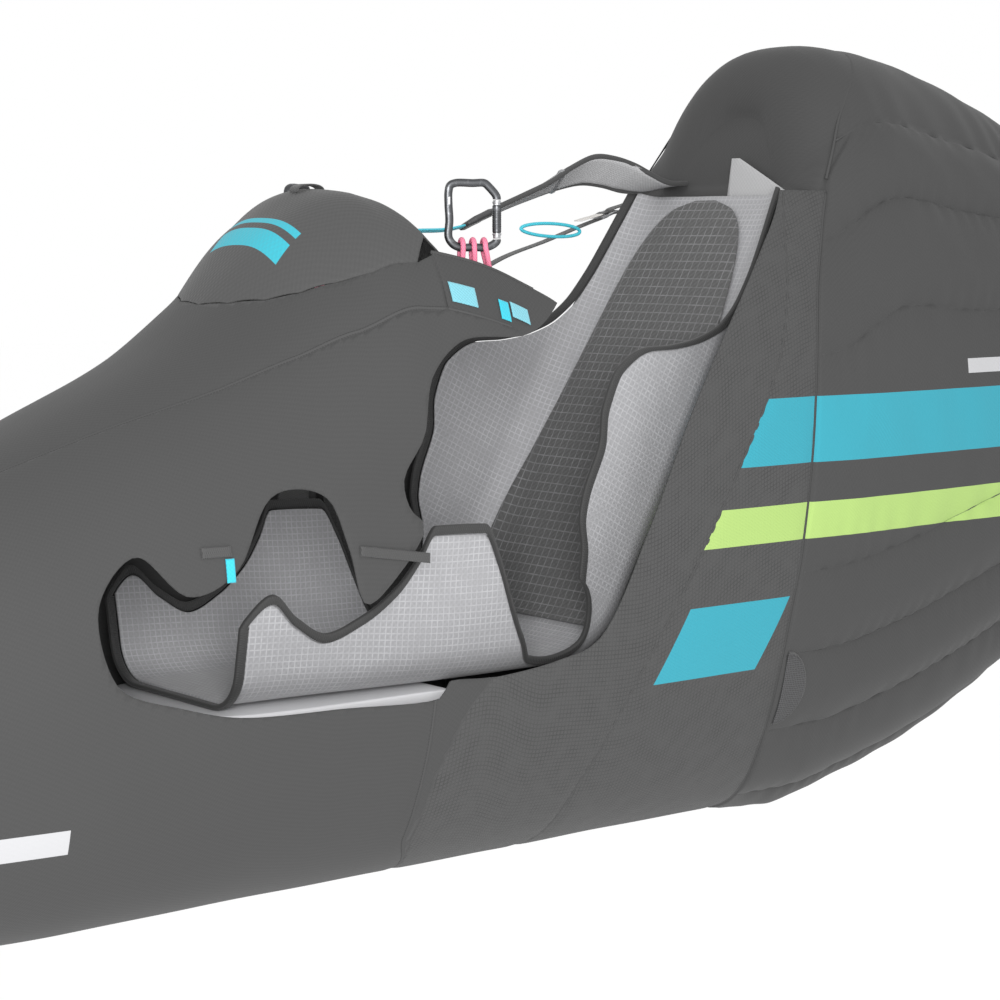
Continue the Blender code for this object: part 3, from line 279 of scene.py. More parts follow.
def relief(p):
    """Low relief of the cocoon's cloth at points p: slow waves of the fabric and a valley along each seam."""
    x, y, z = p[..., 0], p[..., 1], p[..., 2]
    waves = 0.0008 * np.sin(9.0 * x + 5.0 * z + 1.3) * np.sin(13.0 * z - 3.0 * x)
    waves += 0.0005 * np.sin(27.0 * x - 16.0 * z) * np.sin(8.0 * x + 21.0 * z + 0.7)
    valley = hump(x - curve(SEAM_MID, z), 0.010) + hump(x - curve(SEAM_TAIL, z), 0.012)
    valley = valley + hump(x - curve(SEAM_HIP, z), 0.008) * (z < 0.30)
    valley = valley + hump(np.abs(y) - side_half(x), 0.009) * (z > 0.30) * (x < -0.17)
    pucker = np.sin(380.0 * z + 40.0 * np.sin(3.0 * z)) * hump(x - curve(SEAM_MID, z), 0.022)
    return waves - 0.0016 * np.minimum(valley, 1) + 0.0004 * pucker


def cocoon(x, turn):
    """Cloth of the cocoon: the outer form moved along its normals by the low relief."""
    base = hull(x, turn)
    point = base + outward(hull, x, turn) * relief(base)[..., None]
    point[..., 2] = np.maximum(point[..., 2], 0.0)
    return point


def cover_point(x, y):
    """Cockpit cover: the crest of the form, raised in the middle, drooping at the tongue, with a soft fold."""
    low, high, half, waist, power_low, power_high = curve(HULL_SECTIONS, x)
    reach = 1 - np.abs(np.clip(y / half, -1, 1)) ** power_high
    z = waist + (high - waist) * reach ** (1 / power_high)
    front = curve(COVER_PLAN, np.minimum(x, -0.205))
    raised = curve(((-0.370, 0.0), (-0.34, 0.016), (-0.30, 0.025), (-0.25, 0.018), (-0.19, 0.006),
                    (-0.12, 0.0), (-0.02, 0.0)), x)
    droop = curve(((-0.425, 0.0), (-0.19, 0.0), (-0.136, -0.004), (-0.075, -0.018), (-0.027, -0.042)), x)
    share = np.clip(np.abs(y) / np.maximum(front, 0.02), 0, 1)
    fold = 0.0010 * np.sin(26.0 * x + 30.0 * y) * np.cos(35.0 * y)
    z = z + (raised + fold) * (1 - share ** 2) + droop
    return np.stack([x + 0 * y, y + 0 * x, np.minimum(z, curve(COVER_FALL, x + 0.73 * np.abs(y)))], -1)


def fairing_point(x, turn):
    """Tail fairing: the outer form with a crown on each air cell and small puckers along the cell seams."""
    point = hull(x, turn)
    normal = outward(hull, x, turn)
    share = np.abs(((turn / math.pi + 1) % 2) - 1)
    seams = np.array(CELL_SEAMS)
    k = np.clip(np.searchsorted(seams, share, side="right") - 1, 0, len(seams) - 2)
    t = (share - seams[k]) / (seams[k + 1] - seams[k])
    z = point[..., 2]
    start = np.maximum(np.maximum(curve(SEAM_TAIL, z), curve(FAIRING_FRONT, z) + 0.020),
                       np.where(z > 0.86, curve(SEAM_HEAD, z), 0.0))
    fade = np.clip((x - start) / 0.09, 0, 1) ** 0.6 * np.clip((1.60 - x) / 0.30, 0, 1) ** 0.7
    crown = CELL_CROWN * np.abs(np.sin(math.pi * t)) ** 0.75 * np.where(k == len(seams) - 2, CREST_SHARE, 1.0)
    along = 150.0 * x + 7.0 * np.sin(11.0 * x + 2.0 * k) + 1.7 * k
    pucker = 0.0011 * np.sin(along) * (hump(t, 0.20) + hump(1 - t, 0.20))
    tension = 0.0007 * np.sin(70.0 * x + 9.0 * t + 2.1 * k) * np.sin(math.pi * t)
    point = point + normal * ((crown + pucker + tension) * fade)[..., None]
    point[..., 2] = np.maximum(point[..., 2], 0.0)
    return point


def seat_line(s):
    """Centre line of the seat at distance s from its front: x, z and the slope angle there."""
    floor = SEAT_ARC_START - SEAT_FRONT
    bend = math.pi / 2 - BACK_LEAN
    arc = SEAT_ARC_RADIUS * bend
    a = np.clip((s - floor) / SEAT_ARC_RADIUS, 0, bend)
    rest = np.maximum(s - floor - arc, 0)
    x = SEAT_FRONT + np.minimum(s, floor) + SEAT_ARC_RADIUS * np.sin(a) + rest * math.cos(bend)
    z = SEAT_FLOOR + SEAT_ARC_RADIUS * (1 - np.cos(a)) + rest * math.sin(bend)
    return x, z, a


def seat_reach(s):
    """Length of the seat's section from the middle to the edge at distance s."""
    half, flare = curve(SEAT_WIDTH, s)
    rise = curve(SEAT_SIDE, s)
    wall = math.pi / 2 - np.arctan(flare)
    top = SEAT_CORNER * (1 - np.cos(wall))
    short = np.arccos(np.clip(1 - rise / SEAT_CORNER, -1, 1)) * SEAT_CORNER
    full = SEAT_CORNER * wall + (rise - top) / np.sin(wall)
    return half - SEAT_CORNER + np.where(rise < top, short, full)


def seat_point(s, across, off):
    """Seat: a flat, a rounded corner and a flared side. across is the length from the middle, off is out of it."""
    s = np.asarray(s, float)
    across = np.asarray(across, float)
    x, z, a = seat_line(s)
    half, flare = curve(SEAT_WIDTH, s)
    wall = math.pi / 2 - np.arctan(flare)
    flat = half - SEAT_CORNER
    length = np.abs(across)
    turn = np.clip((length - flat) / SEAT_CORNER, 0, wall)
    rest = np.maximum(length - flat - SEAT_CORNER * wall, 0)
    side = np.minimum(length, flat) + SEAT_CORNER * np.sin(turn) + rest * np.cos(wall) + off * np.sin(turn)
    rise = SEAT_CORNER * (1 - np.cos(turn)) + rest * np.sin(wall) - off * np.cos(turn)
    return np.stack([x - rise * np.sin(a), np.sign(across) * side, z + rise * np.cos(a)], -1)


# Meshes

def grid_faces(rows, columns, wrap=False):
    """Quads of a grid of points, facing along (row step) x (column step)."""
    i, j = np.meshgrid(np.arange(rows - 1), np.arange(columns if wrap else columns - 1), indexing="ij")
    k = (j + 1) % columns
    quads = np.stack([i * columns + j, (i + 1) * columns + j, (i + 1) * columns + k, i * columns + k], -1)
    return quads.reshape(-1, 4)


def end_caps(rows, columns):
    """Faces that close both ends of a tube of points."""
    return [tuple(range(columns)), tuple(range(rows * columns - 1, (rows - 1) * columns - 1, -1))]


def halves(quads):
    """Two triangles for each quad."""
    return np.concatenate([quads[:, [0, 1, 2]], quads[:, [0, 2, 3]]])


def trim(rows, faces, value):
    """Cuts triangles along value = 0 and keeps the positive side. Crossed edges share one new row each."""
    keep = value > 0
    count = keep[faces].sum(1)
    mixed = faces[(count == 1) | (count == 2)]
    alone = count[(count == 1) | (count == 2)] == 1
    odd = np.argmax(keep[mixed] == alone[:, None], axis=1)
    mixed = mixed[np.arange(len(mixed))[:, None], (odd[:, None] + np.arange(3)) % 3]
    pairs = np.sort(np.concatenate([mixed[:, [0, 1]], mixed[:, [0, 2]]]), axis=1)
    unique, where = np.unique(pairs, axis=0, return_inverse=True)
    where = where.reshape(-1) + len(rows)
    low, high = value[unique[:, 0]], value[unique[:, 1]]
    share = np.clip(low / np.where(low == high, 1.0, low - high), 0.03, 0.97)[:, None]
    fresh = rows[unique[:, 0]] * (1 - share) + rows[unique[:, 1]] * share
    first, second = where[:len(mixed)], where[len(mixed):]
    corner = np.stack([mixed[:, 0], first, second], 1)[alone]
    rest = np.stack([first, mixed[:, 1], mixed[:, 2]], 1)[~alone]
    last = np.stack([first, mixed[:, 2], second], 1)[~alone]
    faces = np.concatenate([faces[count == 3], corner, rest, last])
    used, faces = np.unique(faces, return_inverse=True)
    return np.concatenate([rows, fresh])[used], faces.reshape(-1, 3)


def inside(outline, p, q):
    """Signed distance from points (p, q) to a closed outline, positive inside it."""
    a = np.asarray(outline, float)
    b = np.roll(a, -1, axis=0)
    d = b - a
    out = np.empty(len(p))
    for block in np.array_split(np.arange(len(p)), max(1, len(p) // 5000)):
        u = p[block, None] - a[:, 0]
        v = q[block, None] - a[:, 1]
        t = np.clip((u * d[:, 0] + v * d[:, 1]) / (d ** 2).sum(1), 0, 1)
        gap = np.sqrt(((u - t * d[:, 0]) ** 2 + (v - t * d[:, 1]) ** 2).min(1))
        span = (a[:, 1] > q[block, None]) != (b[:, 1] > q[block, None])
        rise = np.where(np.abs(d[:, 1]) < 1e-12, 1e-12, d[:, 1])
        odd = (span & (u < v * d[:, 0] / rise)).sum(1) % 2
        out[block] = np.where(odd == 1, gap, -gap)
    return out


def make_object(name, rows, faces):
    """Mesh object from rows of x, y, z and of u, v in metres along the cloth."""
    mesh = bpy.data.meshes.new(name)
    mesh.from_pydata(rows[:, :3].tolist(), [], faces.tolist() if hasattr(faces, "tolist") else faces)
    corner = np.empty(len(mesh.loops), np.int32)
    mesh.loops.foreach_get("vertex_index", corner)
    mesh.uv_layers.new(name="cloth").data.foreach_set("uv", rows[corner, 3:5].astype(np.float32).ravel())
    work = bmesh.new()
    work.from_mesh(mesh)
    bmesh.ops.remove_doubles(work, verts=work.verts, dist=0.00003)
    bmesh.ops.dissolve_degenerate(work, edges=work.edges, dist=0.00001)
    work.to_mesh(mesh)
    work.free()
    mesh.shade_smooth()
    obj = bpy.data.objects.new(name, mesh)
    bpy.context.scene.collection.objects.link(obj)
    return obj


def thicken(obj, thickness):
    """Gives a sheet its thickness, all of it behind the face that its normals point out of."""
    step = obj.modifiers.new("thickness", "SOLIDIFY")
    step.thickness = thickness
    step.offset = -1.0


def dress(obj, look, node=None, body="harness"):
    """Material, slot, replaced node and body of a finished piece."""
    obj.data.materials.clear()
    obj.data.materials.append(look)
    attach(obj, body)
    if node:
        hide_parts(node)
    return obj


def lay_flat(obj):
    """Works out the flat size of a stretched sheet, before it gets its thickness, from its cloth coordinates and area;
    the result is not kept.

    A slanted strip is straightened: its width is held to what its area fills of its length.
    """
    uv = np.empty(len(obj.data.loops) * 2, np.float32)
    obj.data.uv_layers[0].data.foreach_get("uv", uv)
    span = np.ptp(uv.reshape(-1, 2), axis=0)
    area = sum(face.area for face in obj.data.polygons)
    grow = math.sqrt(max(1.0, area / float(span[0] * span[1])))
    width, length = sorted(round(float(v) * grow + 0.0005, 3) for v in span)
    width = round(min(width, area / (LEAST_FILL * length)), 3)


def joined(p, uv):
    """One row of x, y, z, u, v for each point of a grid."""
    return np.concatenate([p, uv], -1).reshape(-1, 5)


def joined_grid(p, u, v):
    """The same, from grids of u and of v."""
    return joined(p, np.stack([u, v], -1))


def cloth_rows(form, a, b):
    """Grid rows of a surface with cloth coordinates: distance along a, then the length run along b."""
    grid_a, grid_b = np.meshgrid(a, b, indexing="ij")
    p = form(grid_a, grid_b)
    run = np.linalg.norm(np.diff(p, axis=1), axis=-1)
    v = np.concatenate([np.zeros((len(a), 1)), np.cumsum(run, axis=1)], axis=1)
    v = v - v[:, [len(b) // 2]]
    return joined_grid(p, grid_a, v)


def sweep(path, across, profile, closed=False):
    """Profile of (across, up) carried along a path. Rows hold x, y, z, length along it and across it."""
    path = np.asarray(path, float)
    profile = np.asarray(profile, float)
    if closed:
        along = unit(np.roll(path, -1, axis=0) - np.roll(path, 1, axis=0))
    else:
        along = unit(np.gradient(path, axis=0))
    across = np.broadcast_to(np.asarray(across, float), path.shape)
    across = unit(across - along * (across * along).sum(1, keepdims=True))
    up = np.cross(across, along)
    if profile.ndim == 2:
        profile = np.broadcast_to(profile, (len(path),) + profile.shape)
    p = path[:, None] + across[:, None] * profile[..., :1] + up[:, None] * profile[..., 1:]
    run = np.concatenate([[0], np.cumsum(np.linalg.norm(np.diff(path, axis=0), axis=1))])
    uv = np.stack(np.broadcast_arrays(run[:, None], profile[..., 0]), -1)
    rows = joined(p, uv)
    n, m = p.shape[:2]
    faces = grid_faces(n, m, wrap=True).tolist()
    if closed:
        faces += [((n - 1) * m + j, j, (j + 1) % m, (n - 1) * m + (j + 1) % m) for j in range(m)]
    else:
        faces += end_caps(n, m)
    return rows, faces


def turned_out(obj):
    """Recalculates the normals of a closed piece."""
    work = bmesh.new()
    work.from_mesh(obj.data)
    bmesh.ops.recalc_face_normals(work, faces=work.faces)
    work.to_mesh(obj.data)
    work.free()
    return obj


def oval(width, height, power=2.0, sides=12):
    """Closed superellipse profile."""
    a = 2 * math.pi * (np.arange(sides) + 0.5) / sides
    c, s = np.cos(a), np.sin(a)
    return np.stack([width / 2 * np.sign(c) * np.abs(c) ** (2 / power),
                     height / 2 * np.sign(s) * np.abs(s) ** (2 / power)], 1)


# Materials

def linear(code):
    """Linear colour of an sRGB hex value."""
    value = np.array([int(code[i:i + 2], 16) / 255 for i in (0, 2, 4)])
    value = np.where(value <= 0.04045, value / 12.92, ((value + 0.055) / 1.055) ** 2.4)
    return (*[float(v) for v in value], 1.0)


def add(tree, kind, inputs=(), **settings):
    """Adds a node with its settings. inputs pairs an input's name or index with a value or another node's output."""
    node = tree.nodes.new(kind)
    for key, value in settings.items():
        setattr(node, key, value)
    for key, value in dict(inputs).items():
        if isinstance(value, bpy.types.NodeSocket):
            tree.links.new(value, node.inputs[key])
        else:
            node.inputs[key].default_value = value
    return node


def new_material(name):
    """Empty material with its output node."""
    look = bpy.data.materials.new(name)
    look.use_nodes = True
    look.node_tree.nodes.clear()
    out = add(look.node_tree, "ShaderNodeOutputMaterial")
    return look, look.node_tree, out


def grid_lines(tree, parts, spacing, width):
    """Mask of the lines of a square grid on cloth coordinates, from the distance to the nearest line."""
    masks = []
    for axis in ("X", "Y"):
        gap = add(tree, "ShaderNodeMath", {0: parts.outputs[axis], 1: spacing / 2}, operation="PINGPONG")
        masks.append(add(tree, "ShaderNodeMapRange", {0: gap.outputs[0], 1: 0.0, 2: width, 3: 1.0, 4: 0.0},
                         interpolation_type="SMOOTHSTEP").outputs[0])
    return add(tree, "ShaderNodeMath", {0: masks[0], 1: masks[1]}, operation="MAXIMUM").outputs[0]


def weave(tree, parts, thread):
    """Height of a plain weave: the product of two sines, one for each thread direction."""
    waves = []
    for axis in ("X", "Y"):
        turn = add(tree, "ShaderNodeMath", {0: parts.outputs[axis], 1: math.pi / thread}, operation="MULTIPLY")
        waves.append(add(tree, "ShaderNodeMath", {0: turn.outputs[0]}, operation="SINE").outputs[0])
    return add(tree, "ShaderNodeMath", {0: waves[0], 1: waves[1]}, operation="MULTIPLY").outputs[0]


def bar_mask(tree, place, bar):
    """Mask of a bar between two x that lean with the other coordinate, and between two values of that one."""
    x_low, x_high, low, high, lean, axis = bar
    reach = add(tree, "ShaderNodeMath", {0: place.outputs[axis], 1: -lean, 2: place.outputs["X"]},
                operation="MULTIPLY_ADD").outputs[0]
    mask = None
    for socket, value, kind in ((place.outputs[axis], low, "GREATER_THAN"), (place.outputs[axis], high, "LESS_THAN"),
                                (reach, x_low, "GREATER_THAN"), (reach, x_high, "LESS_THAN")):
        part = add(tree, "ShaderNodeMath", {0: socket, 1: value}, operation=kind).outputs[0]
        mask = part if mask is None else add(tree, "ShaderNodeMath", {0: mask, 1: part},
                                             operation="MULTIPLY").outputs[0]
    return mask


def woven(name, colour, thread, lines=None, bars=(), tone=0.05, roughness=0.8, sheen=0.15, bump=0.3, depth=0.0004):
    """Woven cloth: base colour with slow tone changes, the weave as bump, optional grid lines and printed bars.

    lines is (spacing, width, colour, share). bars are pairs of a colour and a bar, painted over the lines.
    """
    look, tree, out = new_material(name)
    uv = add(tree, "ShaderNodeUVMap", uv_map="cloth")
    parts = add(tree, "ShaderNodeSeparateXYZ", {0: uv.outputs[0]})
    place = add(tree, "ShaderNodeTexCoord")
    spot = add(tree, "ShaderNodeSeparateXYZ", {0: place.outputs["Object"]})
    cloud = add(tree, "ShaderNodeTexNoise", {"Vector": place.outputs["Object"], "Scale": 6.0, "Detail": 4.0})
    low = [v * (1 - tone) for v in linear(colour)[:3]] + [1.0]
    high = [min(1.0, v * (1 + tone)) for v in linear(colour)[:3]] + [1.0]
    base = add(tree, "ShaderNodeMix", {0: cloud.outputs[0], 6: low, 7: high}, data_type="RGBA").outputs[2]
    height = weave(tree, parts, thread)
    shade = add(tree, "ShaderNodeMapRange", {0: height, 1: -1.0, 2: 1.0, 3: 0.95, 4: 1.05}).outputs[0]
    base = add(tree, "ShaderNodeVectorMath", {0: base, 1: shade}, operation="MULTIPLY").outputs[0]
    if lines:
        spacing, width, code, share = lines
        mask = grid_lines(tree, parts, spacing, width)
        fade = add(tree, "ShaderNodeTexNoise", {"Vector": uv.outputs[0], "Scale": 38.0, "Detail": 3.0})
        fade = add(tree, "ShaderNodeMapRange", {0: fade.outputs[0], 1: 0.3, 2: 0.65, 3: 0.25 * share, 4: share})
        mask = add(tree, "ShaderNodeMath", {0: mask, 1: fade.outputs[0]}, operation="MULTIPLY").outputs[0]
        base = add(tree, "ShaderNodeMix", {0: mask, 6: base, 7: linear(code)}, data_type="RGBA").outputs[2]
        height = add(tree, "ShaderNodeMath", {0: mask, 1: 1.5, 2: height}, operation="MULTIPLY_ADD").outputs[0]
    for code, bar in bars:
        mask = bar_mask(tree, spot, bar)
        base = add(tree, "ShaderNodeMix", {0: mask, 6: base, 7: linear(code)}, data_type="RGBA").outputs[2]
    relief_node = add(tree, "ShaderNodeBump", {"Height": height, "Strength": bump, "Distance": depth})
    shader = add(tree, "ShaderNodeBsdfPrincipled", {"Base Color": base, "Roughness": roughness,
                                                   "Specular IOR Level": 0.3, "Sheen Weight": sheen,
                                                   "Sheen Roughness": 0.5, "Normal": relief_node.outputs[0]})
    tree.links.new(shader.outputs[0], out.inputs[0])
    return look


def pod_nylon():
    """Coated polyamide taffeta of the cocoon: matt, almost plain, a faint thread grain, a pale bar at the foot."""
    return woven("coated_polyamide_taffeta", "3a3a3a", 0.0030, bars=SIGN_FRONT, tone=0.04,
                 roughness=0.88, sheen=0.05, bump=0.20)


def ripstop_nylon(name, bars=()):
    """Ripstop of the hip and flank panels: dark yarns every 5.6 mm, so that the small squares show."""
    return woven(name, "414141", 0.0022, lines=(0.0056, 0.0012, "2a2a2a", 0.70), bars=bars, tone=0.03,
                 roughness=0.85, sheen=0.05, bump=0.35)


def fairing_nylon():
    """Light spinnaker cloth of the inflated fairing: smooth, with printed bands and one pale bar."""
    return woven("spinnaker_cloth", "393939", 0.0030, bars=BANDS + SIGN_REAR,
                 tone=0.04, roughness=0.80, sheen=0.05, bump=0.18)


def cover_cloth():
    """Stretch woven of the cockpit cover: lighter, fine grain, two small printed bars on its crown."""
    return woven("stretch_woven_polyamide", "414141", 0.0036, bars=SIGN_TOP, tone=0.03, roughness=0.88, sheen=0.08,
                 bump=0.5)


def seat_cloth():
    """Light grey seat ripstop: slightly paler reinforcing yarns every 8 mm over a fine grey weave."""
    return woven("seat_ripstop_pale", "8a8a8c", 0.0038, lines=(0.0080, 0.0013, "a9a9ac", 0.7), tone=0.04,
                 roughness=0.7, bump=0.35)


def pad_cloth():
    """Dark spacer mesh of the back pad: pale yarns every 13 mm over a coarse dark weave."""
    return woven("spacer_mesh_dark", "4c4c4c", 0.0046, lines=(0.0132, 0.0014, "848486", 0.62), tone=0.06,
                 roughness=0.9, bump=0.8)


def tape(name, colour, rib, roughness=0.7):
    """Narrow woven tape: ribs across its length, raised a little, and darker between them."""
    look, tree, out = new_material(name)
    uv = add(tree, "ShaderNodeUVMap", uv_map="cloth")
    parts = add(tree, "ShaderNodeSeparateXYZ", {0: uv.outputs[0]})
    turn = add(tree, "ShaderNodeMath", {0: parts.outputs["X"], 1: 2 * math.pi / rib}, operation="MULTIPLY")
    wave = add(tree, "ShaderNodeMath", {0: turn.outputs[0]}, operation="SINE").outputs[0]
    side = add(tree, "ShaderNodeMath", {0: parts.outputs["Y"], 1: 2 * math.pi / (2.6 * rib)}, operation="MULTIPLY")
    cross = add(tree, "ShaderNodeMath", {0: side.outputs[0]}, operation="COSINE").outputs[0]
    height = add(tree, "ShaderNodeMath", {0: wave, 1: cross}, operation="MULTIPLY").outputs[0]
    shade = add(tree, "ShaderNodeMapRange", {0: height, 1: -1.0, 2: 1.0, 3: 0.82, 4: 1.12}).outputs[0]
    base = add(tree, "ShaderNodeVectorMath", {0: linear(colour)[:3], 1: shade}, operation="MULTIPLY").outputs[0]
    bump = add(tree, "ShaderNodeBump", {"Height": height, "Strength": 0.5, "Distance": 0.0005})
    shader = add(tree, "ShaderNodeBsdfPrincipled", {"Base Color": base, "Roughness": roughness,
                                                   "Sheen Weight": 0.1, "Normal": bump.outputs[0]})
    tree.links.new(shader.outputs[0], out.inputs[0])
    return look


def seam_tape(name, colour):
    """Flat-felled seam: the panel's cloth folded over, with two rows of darker lock stitches, 3.5 mm long."""
    look, tree, out = new_material(name)
    uv = add(tree, "ShaderNodeUVMap", uv_map="cloth")
    parts = add(tree, "ShaderNodeSeparateXYZ", {0: uv.outputs[0]})
    dash = add(tree, "ShaderNodeMath", {0: parts.outputs["X"], 1: 0.00175}, operation="PINGPONG")
    dash = add(tree, "ShaderNodeMath", {0: dash.outputs[0], 1: 0.0005}, operation="GREATER_THAN").outputs[0]
    off = add(tree, "ShaderNodeMath", {0: parts.outputs["Y"]}, operation="ABSOLUTE").outputs[0]
    line = add(tree, "ShaderNodeMath", {0: off, 1: 0.0019, 2: 0.0005}, operation="COMPARE").outputs[0]
    stitch = add(tree, "ShaderNodeMath", {0: dash, 1: line}, operation="MULTIPLY").outputs[0]
    dark = [v * 0.55 for v in linear(colour)[:3]] + [1.0]
    base = add(tree, "ShaderNodeMix", {0: stitch, 6: linear(colour), 7: dark}, data_type="RGBA").outputs[2]
    bump = add(tree, "ShaderNodeBump", {"Height": stitch, "Strength": 0.6, "Distance": 0.0006})
    shader = add(tree, "ShaderNodeBsdfPrincipled", {"Base Color": base, "Roughness": 0.8, "Normal": bump.outputs[0]})
    tree.links.new(shader.outputs[0], out.inputs[0])
    return look


def braid(name, colour):
    """Braided cord sheath: two sets of strands wound opposite ways, 2 mm apart."""
    look, tree, out = new_material(name)
    uv = add(tree, "ShaderNodeUVMap", uv_map="cloth")
    parts = add(tree, "ShaderNodeSeparateXYZ", {0: uv.outputs[0]})
    waves = []
    for sign in (1, -1):
        mix = add(tree, "ShaderNodeMath", {0: parts.outputs["Y"], 1: 1.4 * sign, 2: parts.outputs["X"]},
                  operation="MULTIPLY_ADD").outputs[0]
        turn = add(tree, "ShaderNodeMath", {0: mix, 1: 2 * math.pi / 0.0040}, operation="MULTIPLY").outputs[0]
        waves.append(add(tree, "ShaderNodeMath", {0: turn}, operation="SINE").outputs[0])
    height = add(tree, "ShaderNodeMath", {0: waves[0], 1: waves[1]}, operation="MAXIMUM").outputs[0]
    shade = add(tree, "ShaderNodeMapRange", {0: height, 1: -1.0, 2: 1.0, 3: 0.68, 4: 1.08}).outputs[0]
    base = add(tree, "ShaderNodeVectorMath", {0: linear(colour)[:3], 1: shade}, operation="MULTIPLY").outputs[0]
    bump = add(tree, "ShaderNodeBump", {"Height": height, "Strength": 0.5, "Distance": 0.0004})
    shader = add(tree, "ShaderNodeBsdfPrincipled", {"Base Color": base, "Roughness": 0.65, "Normal": bump.outputs[0]})
    tree.links.new(shader.outputs[0], out.inputs[0])
    return look


def anodised(name, colour, roughness):
    """Hard-anodised forged aluminium: soft metal gloss, a fine grain and paler rubbed spots."""
    look, tree, out = new_material(name)
    place = add(tree, "ShaderNodeTexCoord")
    grain = add(tree, "ShaderNodeTexNoise", {"Vector": place.outputs["Object"], "Scale": 900.0, "Detail": 3.0})
    worn = add(tree, "ShaderNodeTexNoise", {"Vector": place.outputs["Object"], "Scale": 130.0, "Detail": 4.0})
    worn = add(tree, "ShaderNodeMapRange", {0: worn.outputs[0], 1: 0.56, 2: 0.75, 3: 0.0, 4: 0.6}).outputs[0]
    pale = [min(1.0, v * 2.6 + 0.03) for v in linear(colour)[:3]] + [1.0]
    base = add(tree, "ShaderNodeMix", {0: worn, 6: linear(colour), 7: pale}, data_type="RGBA").outputs[2]
    rough = add(tree, "ShaderNodeMapRange", {0: grain.outputs[0], 3: roughness - 0.08, 4: roughness + 0.08}).outputs[0]
    bump = add(tree, "ShaderNodeBump", {"Height": grain.outputs[0], "Strength": 0.15, "Distance": 0.0002})
    shader = add(tree, "ShaderNodeBsdfPrincipled", {"Base Color": base, "Metallic": 0.85, "Roughness": rough,
                                                   "Normal": bump.outputs[0]})
    tree.links.new(shader.outputs[0], out.inputs[0])
    return look


def moulded(name, colour, roughness, tone=0.05):
    """Moulded sheet or nylon: even colour with a soft mottle and a fine spark-eroded grain of about 0.5 mm."""
    look, tree, out = new_material(name)
    place = add(tree, "ShaderNodeTexCoord")
    cloud = add(tree, "ShaderNodeTexNoise", {"Vector": place.outputs["Object"], "Scale": 60.0, "Detail": 5.0})
    grain = add(tree, "ShaderNodeTexNoise", {"Vector": place.outputs["Object"], "Scale": 1500.0})
    low = [v * (1 - tone) for v in linear(colour)[:3]] + [1.0]
    high = [min(1.0, v * (1 + tone)) for v in linear(colour)[:3]] + [1.0]
    base = add(tree, "ShaderNodeMix", {0: cloud.outputs[0], 6: low, 7: high}, data_type="RGBA").outputs[2]
    bump = add(tree, "ShaderNodeBump", {"Height": grain.outputs[0], "Strength": 0.15, "Distance": 0.0002})
    shader = add(tree, "ShaderNodeBsdfPrincipled", {"Base Color": base, "Roughness": roughness,
                                                   "Normal": bump.outputs[0]})
    tree.links.new(shader.outputs[0], out.inputs[0])
    return look


# Printed bands, generic ones of plain straight form: x from, x to, then from and to and the lean along the axis named
BANDS = (("2d8898", (0.02, 2.0, 0.492, 0.578, 0.0, "Z")),
         ("93ae63", (0.02, 2.0, 0.392, 0.440, 0.0, "Z")),
         ("2d8898", (0.02, 0.200, 0.225, 0.318, 0.55, "Z")))
SIGN_REAR = (("a6a6a8", (0.715, 0.830, 0.598, 0.618, 0.0, "Z")),)
SIGN_FRONT = (("a6a6a8", (-0.800, -0.662, 0.128, 0.156, 0.0, "Z")),)
SIGN_TOP = (("329dad", (-0.316, -0.296, -0.085, 0.060, 0.0, "Y")),
            ("329dad", (-0.288, -0.280, -0.085, 0.060, 0.0, "Y")))


# Cloth panels of the cocoon

def window_outline():
    """Window in side view, its corners rounded by a smooth line through its points."""
    return spline(WINDOW, 220, closed=True)


def outside_window(p):
    """Positive outside the window, whose sides lean back along the sight line, and on the whole far side."""
    x = p[:, 0] - WINDOW_SLANT * (p[:, 1] - WINDOW_PLANE)
    near = p[:, 1] < 0.02
    out = np.ones(len(p))
    out[near] = np.maximum(-inside(window_outline(), x[near], p[near, 2]), p[near, 1] + 0.16)
    return out


def below_band(p):
    """Positive below the rim band of either side, or in front of it."""
    near = np.where(p[:, 0] < RIM[-1][0], curve(RIM, p[:, 0]), 2.0)
    rim = np.where(p[:, 1] > 0, curve(RIM_FAR, p[:, 0]), near)
    return np.maximum(rim - BAND_HEIGHT - p[:, 2], BAND_FRONT - p[:, 0])


def below_side_seam(p):
    """Positive beside and below the leg cover."""
    return np.maximum(np.maximum(np.abs(p[:, 1]) - side_half(p[:, 0]), -1.04 - p[:, 0]), 0.25 - p[:, 2])


def outside_cover(p):
    """Positive outside the cockpit cover's hole."""
    plan = np.array(COVER_PLAN[1:] + ((-0.160, 0.192),))
    outline = np.concatenate([[COVER_PLAN[0]], plan, (plan * (1, -1))[::-1]])
    return np.maximum(-inside(outline, p[:, 0], p[:, 1]), 0.30 - p[:, 2])


def panel(name, stations, turns, fields, look):
    """Panel of the cocoon: its grid, trimmed by each field in turn, made into a sheet."""
    rows = cloth_rows(cocoon, stations, turns)
    faces = halves(grid_faces(len(stations), len(turns)))
    for field in fields:
        rows, faces = trim(rows, faces, field(rows))
    obj = make_object(name, rows, faces)
    lay_flat(obj)
    thicken(obj, CLOTH)
    return dress(obj, look, node=name.replace("cloth_", ""))


def steps(low, high, size):
    """Even stations from low to high, about size apart."""
    return np.linspace(low, high, max(2, int(round((high - low) / size)) + 1))


def full_turn(count):
    """Even turns all the way round a section, from the ground line and back to it."""
    return np.linspace(0, 2 * math.pi, count)


